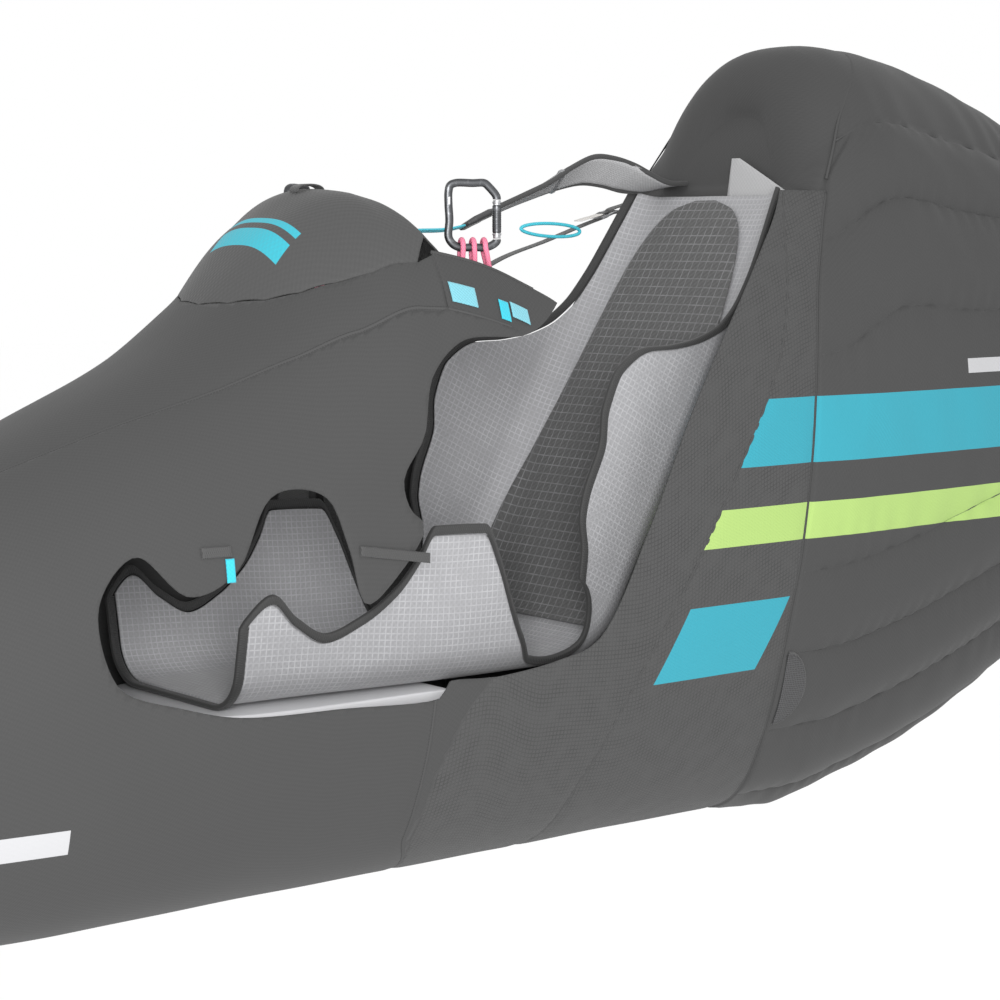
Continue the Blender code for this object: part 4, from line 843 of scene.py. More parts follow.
def build_panels():
    """Leg cover, pod body, hip and flank panels and the two rim bands."""
    nylon = pod_nylon()
    band = woven("rim_band_webbing", "393939", 0.0032, tone=0.04, roughness=0.88, sheen=0.05, bump=0.35)
    foot = FOOT - FOOT_CROWN * np.sin(np.linspace(math.pi / 2, 0, 12, endpoint=False))
    body_x = np.concatenate([foot, steps(FOOT, 0.11, GRID)])
    panel("cloth_leg_cover", steps(-1.045, BAND_FRONT + 0.004, GRID), np.linspace(0.50, 1.50, 150) * math.pi,
          [lambda p: side_half(p[:, 0]) - np.abs(p[:, 1]), lambda p: p[:, 2] - 0.25, lambda p: p[:, 0] + 1.04,
           lambda p: BAND_FRONT - p[:, 0], outside_cover,
           lambda p: np.where(p[:, 0] > RIM[0][0], curve(RIM, p[:, 0]) - p[:, 2], 1.0)], nylon)
    panel("cloth_pod_body", body_x, full_turn(290),
          [lambda p: curve(SEAM_HIP, p[:, 2]) - p[:, 0], below_side_seam, below_band,
           lambda p: 0.80 - p[:, 2], outside_window], nylon)
    panel("cloth_hip_panel", steps(-0.195, 0.425, 0.007), full_turn(300),
          [lambda p: p[:, 0] - curve(SEAM_HIP, p[:, 2]), lambda p: curve(SEAM_MID, p[:, 2]) - p[:, 0],
           lambda p: HIP_PANEL_TOP - p[:, 2], below_band, outside_window], ripstop_nylon("ripstop_polyamide"))
    panel("cloth_flank_panel", steps(0.036, 0.500, 0.007), full_turn(300),
          [lambda p: p[:, 0] - curve(SEAM_MID, p[:, 2]), lambda p: curve(SEAM_TAIL, p[:, 2]) - p[:, 0],
           lambda p: HIP_PANEL_TOP - p[:, 2], below_band], ripstop_nylon("ripstop_polyamide_printed", BANDS))
    for name, rim, low, high in (("near", RIM, 0.5, 1.0), ("far", RIM_FAR, 1.0, 1.5)):
        fields = [lambda p: curve(rim, p[:, 0]) - p[:, 2], lambda p: p[:, 2] - curve(rim, p[:, 0]) + BAND_HEIGHT,
                  lambda p: rim[-1][0] - p[:, 0], lambda p: p[:, 0] - BAND_FRONT]
        if name == "near":
            fields.append(outside_window)
        panel("cloth_rim_band_" + name, steps(BAND_FRONT - 0.004, rim[-1][0] + 0.004, FINE_GRID),
              np.linspace(low, high, 130) * math.pi, fields, band)


def strip_on(name, form, stations, turns, width, height, look):
    """Low domed strip on a surface: a profile carried along the line form(stations, turns), its back sunk in."""
    path = form(stations, turns)
    normal = outward(form, stations, turns)
    along = unit(np.gradient(path, axis=0))
    across = np.cross(normal, along)
    share = np.linspace(-1, 1, 9)
    dome = np.stack([share * width / 2, height * (1 - share ** 2) ** 0.6 - 0.0003], 1)
    under = np.stack([share[::-1] * width / 2, np.full(9, -0.0012)], 1)
    profile = np.concatenate([dome, under])
    p = path[:, None] + across[:, None] * profile[:, :1] + normal[:, None] * profile[:, 1:]
    p[..., 2] = np.maximum(p[..., 2], 0.0)
    run = np.concatenate([[0], np.cumsum(np.linalg.norm(np.diff(path, axis=0), axis=1))])
    uv = np.stack(np.broadcast_arrays(run[:, None], profile[:, 0]), -1)
    rows = joined(p, uv)
    n, m = p.shape[:2]
    faces = grid_faces(n, m, wrap=True).tolist() + end_caps(n, m)
    return dress(turned_out(make_object(name, rows, faces)), look)


def seam_line(table, low, high, count, far=False):
    """Stations and turns of a side-view seam on the hull, from a low to a high height."""
    z = np.linspace(low, high, count)
    x = curve(table, z)
    turn = hull_turn(x, z)
    return x, (2 * math.pi - turn) if far else turn


def build_seams(ripstop_seam, nylon_seam):
    """Flat-felled seams between the panels, the welt in front of the hip panel, and the hem of the rim."""
    for side in ("near", "far"):
        far = side == "far"
        for name, table, low, high, width, slot in (("mid", SEAM_MID, 0.006, 0.842, 0.005, "flank_panel"),
                                                    ("tail", SEAM_TAIL, 0.010, 0.844, 0.006, "tail_fairing")):
            if far:
                high = 0.558 if name == "mid" else 0.619
            x, turn = seam_line(table, low, high, 260, far)
            strip_on("seam_%s_%s" % (name, side), cocoon, x, turn, width, 0.0007, ripstop_seam)
        x, turn = seam_line(SEAM_WELT, 0.010, 0.247, 110, far)
        strip_on("seam_welt_" + side, cocoon, x, turn, 0.0055, 0.0011, nylon_seam)
        x, turn = seam_line(SEAM_HIP, 0.010, 0.262 if not far else 0.60, 200, far)
        strip_on("seam_hip_" + side, cocoon, x, turn, 0.004, 0.0006, ripstop_seam)
        x = np.linspace(-1.04, BAND_FRONT, 420)
        y = side_half(x)
        low, top, half, waist, power_low, power_high = curve(HULL_SECTIONS, x)
        z = waist + (top - waist) * (1 - (y / half) ** power_high) ** (1 / power_high)
        turn = hull_turn(x, z)
        strip_on("seam_side_" + side, cocoon, x, 2 * math.pi - turn if far else turn, 0.006, 0.0010, nylon_seam)
        for label, drop, size, end in (("hem", 0.0010, 0.0055, -0.030), ("lower", BAND_HEIGHT, 0.0040, -0.082)):
            x = np.linspace(BAND_FRONT, RIM_FAR[-1][0] - 0.002 if far else end, 260)
            turn = hull_turn(x, curve(RIM_FAR if far else RIM, x) - drop)
            strip_on("rim_%s_%s" % (label, side), cocoon, x, 2 * math.pi - turn if far else turn, size, 0.0011,
                     nylon_seam)


def build_cover():
    """Cockpit cover: a crowned sheet with a free tongue and a stitched hem line across the dome."""
    plan = np.array(COVER_PLAN + TONGUE_PLAN[1:])
    t = np.linspace(0, len(plan) - 1, 130)
    half = np.interp(t, np.arange(len(plan)), plan[:, 1])
    x = np.interp(t, np.arange(len(plan)), plan[:, 0])
    share = np.linspace(-1, 1, 91)
    grid_x = np.repeat(x[:, None], len(share), 1)
    grid_y = np.maximum(half, 0.002)[:, None] * share
    p = cover_point(grid_x, grid_y)
    rows = joined_grid(p, grid_x, grid_y)
    obj = make_object("cloth_cockpit_cover", rows, grid_faces(len(t), len(share)))
    work = bmesh.new()
    work.from_mesh(obj.data)
    bmesh.ops.recalc_face_normals(work, faces=work.faces)
    if sum(face.normal.z for face in work.faces) < 0:
        bmesh.ops.reverse_faces(work, faces=work.faces)
    work.to_mesh(obj.data)
    work.free()
    lay_flat(obj)
    thicken(obj, CLOTH)
    return dress(obj, cover_cloth(), node="cockpit_cover")


def build_fairing():
    """Tail fairing: a rounded front, the rebate under the side panels, air cells to the tip, a closed front wall."""
    turns = []
    for a, b in zip(CELL_SEAMS[:-2], CELL_SEAMS[1:-1]):
        turns += [a + (b - a) * (0.5 - 0.5 * math.cos(math.pi * i / 20)) for i in range(20)]
    turns = np.array(turns + [0.77 + 0.23 * i / 24 for i in range(25)])
    turns = np.concatenate([turns, 2 - turns[-2:0:-1]]) * math.pi
    columns = len(turns)
    half = columns // 2
    height = hull(np.full(columns, 0.4), turns)[:, 2]
    for _ in range(60):
        height = 0.5 * height + 0.5 * hull(curve(FAIRING_FRONT, height), turns)[:, 2]
    first = curve(FAIRING_FRONT, height)
    blend = np.clip((height - 0.842) / 0.055, 0, 1)
    blend = blend * blend * (3 - 2 * blend)
    r = FAIRING_CORNER + (HEAD_CORNER - FAIRING_CORNER) * blend
    sunk = SUNK * (1 - blend)
    height = hull(np.full(columns, 0.4), turns)[:, 2]
    for _ in range(60):
        height = 0.5 * height + 0.5 * hull(curve(SEAM_TAIL, height), turns)[:, 2]
    step = np.maximum(curve(SEAM_TAIL, height), first + r + 0.006)
    rings = []
    for a in np.linspace(0, math.pi / 2, 13):
        x = first + r * (1 - math.cos(a))
        rings.append(hull(x, turns) - outward(hull, x, turns) * (sunk + r * (1 - math.sin(a)))[:, None])
    for share in np.linspace(0, 1, 12)[1:]:
        x = first + r + (step + 0.0016 - first - r) * share
        rings.append(hull(x, turns) - outward(hull, x, turns) * sunk[:, None])
    for ring in rings:
        ring[:, 2] = np.maximum(ring[:, 2], SUNK)
    along = np.linspace(0, 1, 190) ** 1.05
    for share in along:
        rings.append(fairing_point(step + 0.0036 + (TAIL_TIP[0] - step - 0.0036) * share, turns))
    rings[-1][:] = (TAIL_TIP[0], 0.0, TAIL_TIP[1])
    p = np.array(rings)
    run = np.linalg.norm(np.diff(p, axis=1, append=p[:, :1]), axis=-1)
    v = np.cumsum(run, axis=1)
    uv = np.stack([p[..., 0], v], -1)
    rows = joined(p, uv)
    faces = grid_faces(len(rings), columns, wrap=True)
    share = np.linspace(0, 1, 24)[1:-1]
    left = p[0, 1:half]
    right = p[0, columns - 1:half:-1]
    wall = left[:, None] * (1 - share[:, None]) + right[:, None] * share[:, None]
    wall_uv = np.stack([wall[..., 1], wall[..., 2]], -1)
    base = len(rows)
    rows = np.concatenate([rows, joined(wall, wall_uv)])
    middle = base + np.arange(left.shape[0] * len(share)).reshape(-1, len(share))
    index = np.concatenate([np.arange(1, half)[:, None], middle, np.arange(columns - 1, half, -1)[:, None]], 1)
    cap = np.stack([index[:-1, :-1], index[:-1, 1:], index[1:, 1:], index[1:, :-1]], -1).reshape(-1, 4)
    ends = [(0, int(index[0, k + 1]), int(index[0, k])) for k in range(index.shape[1] - 1)]
    ends += [(half, int(index[-1, k]), int(index[-1, k + 1])) for k in range(index.shape[1] - 1)]
    obj = make_object("cloth_tail_fairing", rows, faces.tolist() + cap.tolist() + ends)
    turned_out(obj)
    return dress(obj, fairing_nylon(), node="tail_fairing")


def build_fairing_seams(look):
    """Seam lines of the fairing: along each cell seam, and over the head where its front panel ends."""
    for k, seam in enumerate(CELL_SEAMS[3:8]):
        for side, turn in (("near", seam * math.pi), ("far", (2 - seam) * math.pi)):
            z = hull(np.array([0.5]), np.array([turn]))[0, 2]
            start = float(np.maximum(curve(SEAM_TAIL, z), curve(SEAM_HEAD, z) if z > 0.86 else 0.0)) + 0.008
            x = np.linspace(start, 1.55, 220)
            strip_on("seam_cell_%s_%d" % (side, k + 1), fairing_point, x, np.full(220, turn), 0.0030, 0.0005, look)
    z = np.linspace(0.862, 1.0475, 120)
    x = curve(SEAM_HEAD, z)
    turn = hull_turn(x, z)
    stations = np.concatenate([x, x[::-1][1:]])
    turns = np.concatenate([turn, 2 * math.pi - turn[::-1][1:]])
    strip_on("seam_head", fairing_point, stations, turns, 0.0040, 0.0006, look)


# Seat

def build_seat():
    """Seat trough, the black binding round its edge, the dark pad on its back and the board under its front."""
    edge, thick = BINDING
    s = np.concatenate([[edge + 0.0009], steps(edge + 0.005, SEAT_END, 0.0045)])
    share = np.linspace(-1, 1, 141)
    grid_s = np.repeat(s[:, None], len(share), 1)
    grid_a = (seat_reach(s) - edge - 0.0017)[:, None] * share
    sag = 0.0006 * np.sin(grid_s * 31.0 + grid_a * 24.0) * np.sin(grid_a * 37.0 + 1.0)
    p = seat_point(grid_s, grid_a, sag)
    rows = joined_grid(p, grid_s, grid_a)
    shell = make_object("cloth_seat_shell", rows, grid_faces(len(s), len(share))[:, ::-1])
    lay_flat(shell)
    thicken(shell, SEAT_CLOTH)
    dress(shell, seat_cloth(), node="seat_shell")

    down = np.linspace(SEAT_END, 0.006, 420)
    front = np.linspace(-0.985, 0.985, 90)
    reach = float(seat_reach(0.0))
    wide = float(seat_reach(edge))
    outer = [np.stack([down, -seat_reach(down)], 1), np.stack([0 * front, front * reach], 1),
             np.stack([down[::-1], seat_reach(down[::-1])], 1)]
    inner = [np.stack([np.maximum(down, 0.006), -seat_reach(down) + edge], 1),
             np.stack([0 * front + edge, front * (wide - edge)], 1),
             np.stack([np.maximum(down[::-1], 0.006), seat_reach(down[::-1]) - edge], 1)]
    outer, inner = np.concatenate(outer), np.concatenate(inner)
    profile = oval(1.0, thick, power=3.2, sides=14)
    mix = profile[:, 0] + 0.5
    where = outer[:, None] * (1 - mix[:, None]) + inner[:, None] * mix[:, None]
    p = seat_point(where[..., 0], where[..., 1], SEAT_CLOTH / 2 + profile[:, 1])
    run = np.concatenate([[0], np.cumsum(np.linalg.norm(np.diff(p[:, 0], axis=0), axis=1))])
    uv = np.stack(np.broadcast_arrays(run[:, None], profile[:, 0] * edge), -1)
    rows = joined(p, uv)
    n, m = p.shape[:2]
    faces = grid_faces(n, m, wrap=True).tolist() + end_caps(n, m)
    bound = turned_out(make_object("tape_seat_binding", rows, faces))
    dress(bound, tape("elastic_edge_tape", "2b2b2b", 0.0030, roughness=0.75), node="seat_binding")

    pad_s = np.concatenate([0.574 + 0.015 * np.linspace(0, 1, 6) ** 1.6, steps(0.592, 1.19, 0.006)[1:],
                            1.204 - 0.014 * np.linspace(1, 0, 8) ** 1.6])
    pad_s = np.unique(np.round(pad_s, 5))
    share = np.linspace(-1, 1, 61)
    grid_s = np.repeat(pad_s[:, None], len(share), 1)
    grid_a = curve(BACK_PAD, pad_s)[:, None] * share
    crown = 0.0012 * (1 - share ** 4) * np.minimum(1, np.minimum(grid_s - 0.574, 1.204 - grid_s) / 0.03)
    p = seat_point(grid_s, grid_a, -PAD_LIFT - PAD - crown)
    rows = joined_grid(p, grid_s, grid_a)
    pad = make_object("cloth_back_pad", rows, grid_faces(len(pad_s), len(share))[:, ::-1])
    thicken(pad, PAD)
    dress(pad, pad_cloth(), node="back_pad")

    plan = np.array(BOARD_PLAN)
    x = np.concatenate([np.linspace(plan[0, 0], plan[5, 0], 40), np.linspace(plan[5, 0], plan[-1, 0], 20)[1:]])
    half = curve(BOARD_PLAN, x)
    edge_points = np.concatenate([np.stack([x, -half], 1)[::-1], np.stack([x, half], 1)])
    low, high = BOARD_Z
    centre = np.array([-0.29, 0.0])
    rings = []
    for inset, z in ((0.0035, low), (0.0010, low + 0.0008), (0.0, low + 0.0030), (0.0, high - 0.0030),
                     (0.0010, high - 0.0008), (0.0035, high)):
        pulled = edge_points - unit(edge_points - centre) * inset
        rings.append(np.concatenate([pulled, np.full((len(pulled), 1), z)], 1))
    p = np.array(rings)
    rows = joined(p, p[..., :2])
    n, m = p.shape[:2]
    faces = grid_faces(n, m, wrap=True).tolist()
    for ring in (0, n - 1):
        base = ring * m
        h = m // 2
        faces += [(base + h - 1 - k, base + h + k, base + h + k + 1, base + h - 2 - k) for k in range(h - 1)]
    board = turned_out(make_object("plate_seat_board", rows, faces))
    dress(board, moulded("laminated_foam_board", "bcbcbe", 0.45, tone=0.03), node="seat_board")


# Straps, carabiners and trim

def webbing_profile(width, thickness):
    """Flat strap with rounded, slightly thicker edges."""
    share = np.linspace(-1, 1, 13)
    top = np.stack([share * width / 2, thickness / 2 * (1 - np.abs(share) ** 14) ** 0.5 * (1 + 0.10 * share ** 6)], 1)
    return np.concatenate([top, top[::-1] * (1, -1)])


def strap(name, path, across, width, thickness, look, node=None, count=120):
    """Webbing along a smooth line through path. across is the direction of its width, at each point or for all."""
    path = np.asarray(path, float)
    line = spline(path, count)
    if isinstance(across[0], (tuple, list)):
        t = np.linspace(0, 1, len(path))
        sides = np.stack([np.interp(np.linspace(0, 1, count), t, np.array(across, float)[:, k]) for k in range(3)], 1)
    else:
        sides = np.array(across, float)
    if isinstance(width, (tuple, list)):
        wide = np.interp(np.linspace(0, 1, count), np.linspace(0, 1, len(width)), width)
        high = np.interp(np.linspace(0, 1, count), np.linspace(0, 1, len(thickness)), thickness)
        flat = webbing_profile(1.0, 1.0)
        profile = np.stack([flat[None, :, 0] * wide[:, None], flat[None, :, 1] * high[:, None]], -1)
    else:
        profile = webbing_profile(width, thickness)
    rows, faces = sweep(line, sides, profile)
    return dress(turned_out(make_object(name, rows, faces)), look, node=node)


def along_strap(e, n, y=0.176):
    """Point near the adjuster's buckle: e millimetres down the strap and n out from it."""
    ex, ez = -0.950, -0.313
    return (0.4110 + (ex * e + ez * n) / 1000, y, 0.8165 + (ez * e - ex * n) / 1000)


def build_straps(dark, cyan, pale, steel, black):
    """Far shoulder strap, chest buckle and pull, the adjuster with its buckle, and the cut-away strap root."""
    path = ((0.4752, 0.095, 0.8592), (0.4400, 0.095, 0.8555), (0.4095, 0.095, 0.8600), (0.3850, 0.095, 0.8660),
            (0.3486, 0.095, 0.8739), (0.3123, 0.095, 0.8761), (0.2731, 0.095, 0.8660), (0.2274, 0.095, 0.8479),
            (0.1841, 0.095, 0.8327), (0.1400, 0.093, 0.8170))
    across = [(0, 1, 0), (0, 0.98, -0.2), (0, 0.85, -0.5), (0, 0.68, -0.72), (0, 0.62, -0.77), (0, 0.66, -0.75),
              (0, 0.78, -0.62), (0, 0.90, -0.42), (0, 0.93, -0.36), (0, 0.93, -0.36)]
    shoulder = strap("strap_shoulder", path, across, 0.048, 0.0062, padded_strap(), node="shoulder_strap", count=200)
    for side in (-1, 1):
        edge = [(x, y + side * 0.0235 * w[1], z + side * 0.0235 * w[2]) for (x, y, z), w in zip(path, across)]
        rows, faces = sweep(spline(edge, 200), (0, 1, 0), oval(0.0034, 0.0072, sides=10))
        name = "strap_shoulder_edge_" + ("near" if side < 0 else "far")
        dress(turned_out(make_object(name, rows, faces)), dark)
    keeper = [np.array(path[6]) * (1 - t) + np.array(path[7]) * t for t in (0.30, 0.42)]
    strap("strap_keeper", keeper, across[6], 0.052, 0.0092, steel_bright(), count=6)

    strap("buckle_chest", ((0.1390, 0.0925, 0.8166), (0.128, 0.091, 0.8125), (0.114, 0.089, 0.8075),
                           (0.100, 0.087, 0.8025), (0.0900, 0.085, 0.7990)), (0.0, 0.93, -0.36),
          (0.024, 0.034, 0.034, 0.034, 0.022), (0.0055, 0.0088, 0.0084, 0.0088, 0.0055), black, node="chest_buckle",
          count=60)
    strap("pull_chest", ((0.0892, 0.085, 0.7986), (0.060, 0.084, 0.7940), (0.010, 0.082, 0.7925),
                         (-0.040, 0.080, 0.7905)),
          (0.0, 0.93, -0.36), 0.012, WEBBING, cyan, node="chest_pull")

    root = np.array([(0.4644, -0.146, 0.8396), (0.4644, -0.020, 0.8396), (0.4728, -0.020, 0.8920),
                     (0.4728, -0.036, 0.8920)])
    share = np.linspace(0, 1, 40)
    left = root[0] * (1 - share[:, None]) + root[3] * share[:, None]
    right = root[1] * (1 - share[:, None]) + root[2] * share[:, None]
    cross = np.linspace(0, 1, 20)[:, None]
    p = left[:, None] * (1 - cross) + right[:, None] * cross
    p[..., 0] += 0.0015 - 0.0008 * np.sin(math.pi * cross[:, 0])
    uv = np.stack([p[..., 2], p[..., 1]], -1)
    rows = joined(p, uv)
    cut = make_object("strap_root", rows, grid_faces(40, 20))
    thicken(cut, ROOT_CLOTH)
    dress(cut, strap_lining(), node="strap_root_near")

    upper = [along_strap(*q) for q in ((-54.8, 3.3, 0.164), (-36, 3.2, 0.170), (-14, 3.12), (-11.2, 1.8), (-10.6, 0.0),
                                       (-11.2, -1.8), (-14, -3.12), (-27, -3.12))]
    strap("strap_adjuster_top", upper, (0, 1, 0), 0.020, 0.0016, dark, node="adjuster_top", count=160)
    low = [(-0.060, 0.205, 0.432), (-0.060, 0.207, 0.47), (-0.042, 0.208, 0.52), (0.010, 0.203, 0.590),
           (0.08, 0.195, 0.655), (0.15, 0.186, 0.713), (0.221, 0.178, 0.7530)]
    low += [along_strap(*q) for q in ((115, -2.0), (60, -2.2), (30, -2.6), (14, -3.12), (0, -3.12), (-2.9, -1.8),
                                      (-3.5, 0.0), (-2.9, 1.8), (0, 3.12), (8, 2.8))]
    strap("strap_adjuster", low, (0, 1, 0), 0.020, 0.0016, dark, node="adjuster_strap", count=420)
    tail = [along_strap(*q) for q in ((8.8, 2.8), (20, 3.4), (34, 5.0), (48, 6.0))]
    strap("strap_adjuster_tail", tail, (0, 1, 0), 0.020, 0.0016, pale, node="adjuster_tail")

    turn = 2 * math.pi * np.arange(96) / 96
    loop = np.stack([0.3030 + 0.053 * np.cos(turn), 0.1642 - 0.004 * np.abs(np.sin(turn)) ** 1.5,
                     0.7940 + 0.009 * np.sin(turn) - 0.002 * np.cos(turn)], 1)
    rows, faces = sweep(loop, (0, 1, 0), oval(0.0050, 0.0048, sides=12), closed=True)
    dress(turned_out(make_object("cord_adjuster_pull", rows, faces)), braid("braided_cord_cyan", "3fb5c6"),
          node="adjuster_pull")
    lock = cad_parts["ladder_lock"]
    lock.data.materials.clear()
    lock.data.materials.append(steel)


def padded_strap():
    """Foam-filled shoulder strap: dark face cloth, a paler lining below, told apart by the normal's height."""
    look, tree, out = new_material("foam_strap_cover")
    face = add(tree, "ShaderNodeNewGeometry")
    up = add(tree, "ShaderNodeSeparateXYZ", {0: face.outputs["Normal"]})
    side = add(tree, "ShaderNodeMapRange", {0: up.outputs["Y"], 1: -0.1, 2: 0.1, 3: 0.0, 4: 1.0}).outputs[0]
    uv = add(tree, "ShaderNodeUVMap", uv_map="cloth")
    parts = add(tree, "ShaderNodeSeparateXYZ", {0: uv.outputs[0]})
    height = weave(tree, parts, 0.0026)
    base = add(tree, "ShaderNodeMix", {0: side, 6: linear("a2a2a3"), 7: linear("565656")}, data_type="RGBA").outputs[2]
    shade = add(tree, "ShaderNodeMapRange", {0: height, 1: -1.0, 2: 1.0, 3: 0.9, 4: 1.1}).outputs[0]
    base = add(tree, "ShaderNodeVectorMath", {0: base, 1: shade}, operation="MULTIPLY").outputs[0]
    bump = add(tree, "ShaderNodeBump", {"Height": height, "Strength": 0.4, "Distance": 0.0004})
    shader = add(tree, "ShaderNodeBsdfPrincipled", {"Base Color": base, "Roughness": 0.8, "Normal": bump.outputs[0]})
    tree.links.new(shader.outputs[0], out.inputs[0])
    return look


def strap_lining():
    """Pale lining cloth of the cut strap root."""
    return woven("strap_lining", "9b9b9c", 0.0030, tone=0.05, roughness=0.8, bump=0.4)


def steel_bright():
    """Bright stainless strap keeper."""
    return anodised("stainless_steel_satin", "9d9ea0", 0.35)


def build_carabiner(side, name, looks):
    """Carabiner with its gate and screw sleeve, three cord loops and the strap that carries it."""
    bar, bright, cord, web = looks
    cx, cy, cz = CARABINER_MID
    cy = cy * side
    a = (CARABINER_SIZE[0] - CARABINER_BAR) / 2
    b = (CARABINER_SIZE[1] - CARABINER_BAR) / 2
    r = CARABINER_BAR / 2
    ux = math.cos(math.radians(CARABINER_TURN_DEG))
    uy = side * math.sin(math.radians(CARABINER_TURN_DEG))

    def at(points):
        """Points of the carabiner's own plane, across and up, in the frame."""
        p = np.asarray(points, float)
        return np.stack([cx + p[:, 0] * ux, cy + p[:, 0] * uy, cz + p[:, 1]], 1)

    normal = (-uy, ux, 0.0)
    outline = ((a, 0.0186), (a, 0.0208), (a - 0.0018, 0.0246), (a - 0.0100, b - 0.004), (a - 0.0150, b),
               (0.0, b), (-a + 0.008, b), (-a + 0.002, b - 0.003), (-a, b - 0.010), (-a, 0.012), (-a + 0.001, -0.006),
               (-a, -b + 0.012), (-a + 0.005, -b + 0.004), (-a + 0.013, -b), (0.0, -b), (a - 0.013, -b),
               (a - 0.0040, -b + 0.0035), (a, -0.0304), (a, -0.0286))
    rows, faces = sweep(spline(at(outline), 220), normal, oval(CARABINER_BAR * 0.98, CARABINER_BAR, 2.8, 20))
    dress(turned_out(make_object("carabiner_body_" + name, rows, faces)), bar, node="carabiner_" + name)
    gate_at = at(((a, -0.0275), (a, -0.010), (a, 0.0178)))
    gate_body = "gate_" + name
    rows, faces = sweep(spline(gate_at, 40), normal, oval(2 * r * 0.94, 2 * r * 0.94, 2.0, 20))
    dress(turned_out(make_object("gate_bar_" + name, rows, faces)), bright, node=gate_body, body=gate_body)
    sleeve = at(((a, -0.0215), (a, 0.0125)))
    t = np.linspace(0, 1, 61)[:, None]
    line = sleeve[0] * (1 - t) + sleeve[1] * t
    ribs = 1.0 + 0.035 * (np.sin(t[:, 0] * math.pi * 26) > 0) * (t[:, 0] > 0.12) * (t[:, 0] < 0.88)
    ribs = ribs * np.minimum(1, 0.80 + 4 * np.minimum(t[:, 0], 1 - t[:, 0]))
    round_bar = oval(2 * r + 0.0010, 2 * r + 0.0010, 2.0, 24)
    rows, faces = sweep(line, normal, ribs[:, None, None] * round_bar)
    dress(turned_out(make_object("gate_sleeve_" + name, rows, faces)), bar, body=gate_body)
    for k, height in enumerate((-0.0225, 0.0150)):
        band = at(((a, height - 0.0011), (a, height + 0.0011)))
        rows, faces = sweep(band, normal, oval(2 * r + 0.0012, 2 * r + 0.0012, 2.0, 24))
        piece = turned_out(make_object("gate_band_%s_%d" % (name, k + 1), rows, faces))
        dress(piece, bright, body=gate_body)
    insert = at(((-a, 0.010), (-a, 0.024)))
    t = np.linspace(0, 1, 15)[:, None]
    line = insert[0] * (1 - t) + insert[1] * t
    fat = np.sqrt(np.clip(1 - (2 * t[:, 0] - 1) ** 6, 0.05, 1))
    rows, faces = sweep(line, normal, fat[:, None, None] * oval(0.0104, 0.0050, 2.6, 16))
    dress(turned_out(make_object("carabiner_insert_" + name, rows, faces)), bright)
    pin = at(((a - 0.0001, -0.0255), (a + 0.0001, -0.0255))).mean(0)
    axis = np.array(normal) * 0.0054
    rows, faces = sweep(np.array([pin - axis, pin - axis * 0.9, pin + axis * 0.9, pin + axis]), (0, 0, 1),
                        np.array([0.75, 1, 1, 0.75])[:, None, None] * oval(0.0030, 0.0030, 2.0, 14))
    dress(turned_out(make_object("gate_pin_" + name, rows, faces)), bright)

    bar_z = cz - b
    turn = r + 0.0033 + 0.0009
    for i, (top, low) in enumerate(((-0.0135, -0.020), (0.0000, 0.003), (0.0135, 0.032))):
        legs = []
        for z, wide in ((0.7159, 0.0050), (0.742, 0.0052), (bar_z - 0.006, turn)):
            share = (bar_z - z) / (bar_z - 0.7159)
            legs.append((top * ux * (1 - share) + low * share, top * uy * (1 - share), z, wide))
        points = [(cx + p + wide * uy, cy + q - wide * ux, z) for p, q, z, wide in legs]
        for deg in (0, 30, 60, 90, 120, 150, 180):
            ang = math.radians(deg)
            out = turn * math.cos(ang)
            points.append((cx + top * ux + out * uy, cy + top * uy - out * ux, bar_z + turn * math.sin(ang)))
        points += [(cx + p - wide * uy, cy + q + wide * ux, z) for p, q, z, wide in legs[::-1]]
        rows, faces = sweep(spline(points, 90), (ux, uy, 0.0), oval(0.0064, 0.0064, 2.0, 12))
        piece = turned_out(make_object("cord_%s_%d" % (name, i + 1), rows, faces))
        dress(piece, cord, node="cord_loop_%s_%d" % (name, i + 1))
    if side < 0:
        line = [(cx + 0.005, y, z) for y, z in ((-0.185, 0.7138), (-0.201, 0.7090), (-0.2150, 0.7035),
                                               (-0.2207, 0.6975), (-0.2237, 0.687), (-0.2265, 0.677))]
    else:
        line = ((cx + 0.005, cy, 0.7155), (cx + 0.004, cy + 0.006, 0.69), (cx - 0.004, cy + 0.014, 0.64),
                (cx - 0.007, cy + 0.015, 0.56), (cx - 0.011, cy + 0.0048, 0.48), (cx - 0.013, cy + 0.0013, 0.440),
                (cx - 0.013, cy + 0.0008, 0.400))
    strap("strap_load_" + name, line, (1, 0, 0), 0.066 if side < 0 else 0.050, WEBBING, web,
          node="load_strap_" + name, count=90)


def side_patch(name, x, low, high, lift, thick, look, node):
    """Small piece of cloth on the side: a grid between two heights at each station, its edges turned down."""
    columns = 24
    share = np.linspace(0, 1, columns)
    z = low[:, None] * (1 - share) + high[:, None] * share
    grid_x = np.repeat(x[:, None], columns, 1)
    turn = hull_turn(grid_x, z)
    row = np.arange(len(x))
    edge = np.minimum(np.minimum(share, 1 - share)[None, :] * columns, np.minimum(row, row[::-1])[:, None])
    rise = lift + thick * np.sqrt(np.clip(edge / 2, 0, 1)) * 0.75 + thick * 0.25
    p = cocoon(grid_x, turn) + outward(cocoon, grid_x, turn) * rise[..., None]
    obj = make_object(name, joined_grid(p, grid_x, z), grid_faces(len(x), columns))
    thicken(obj, thick)
    return dress(obj, look, node=node)


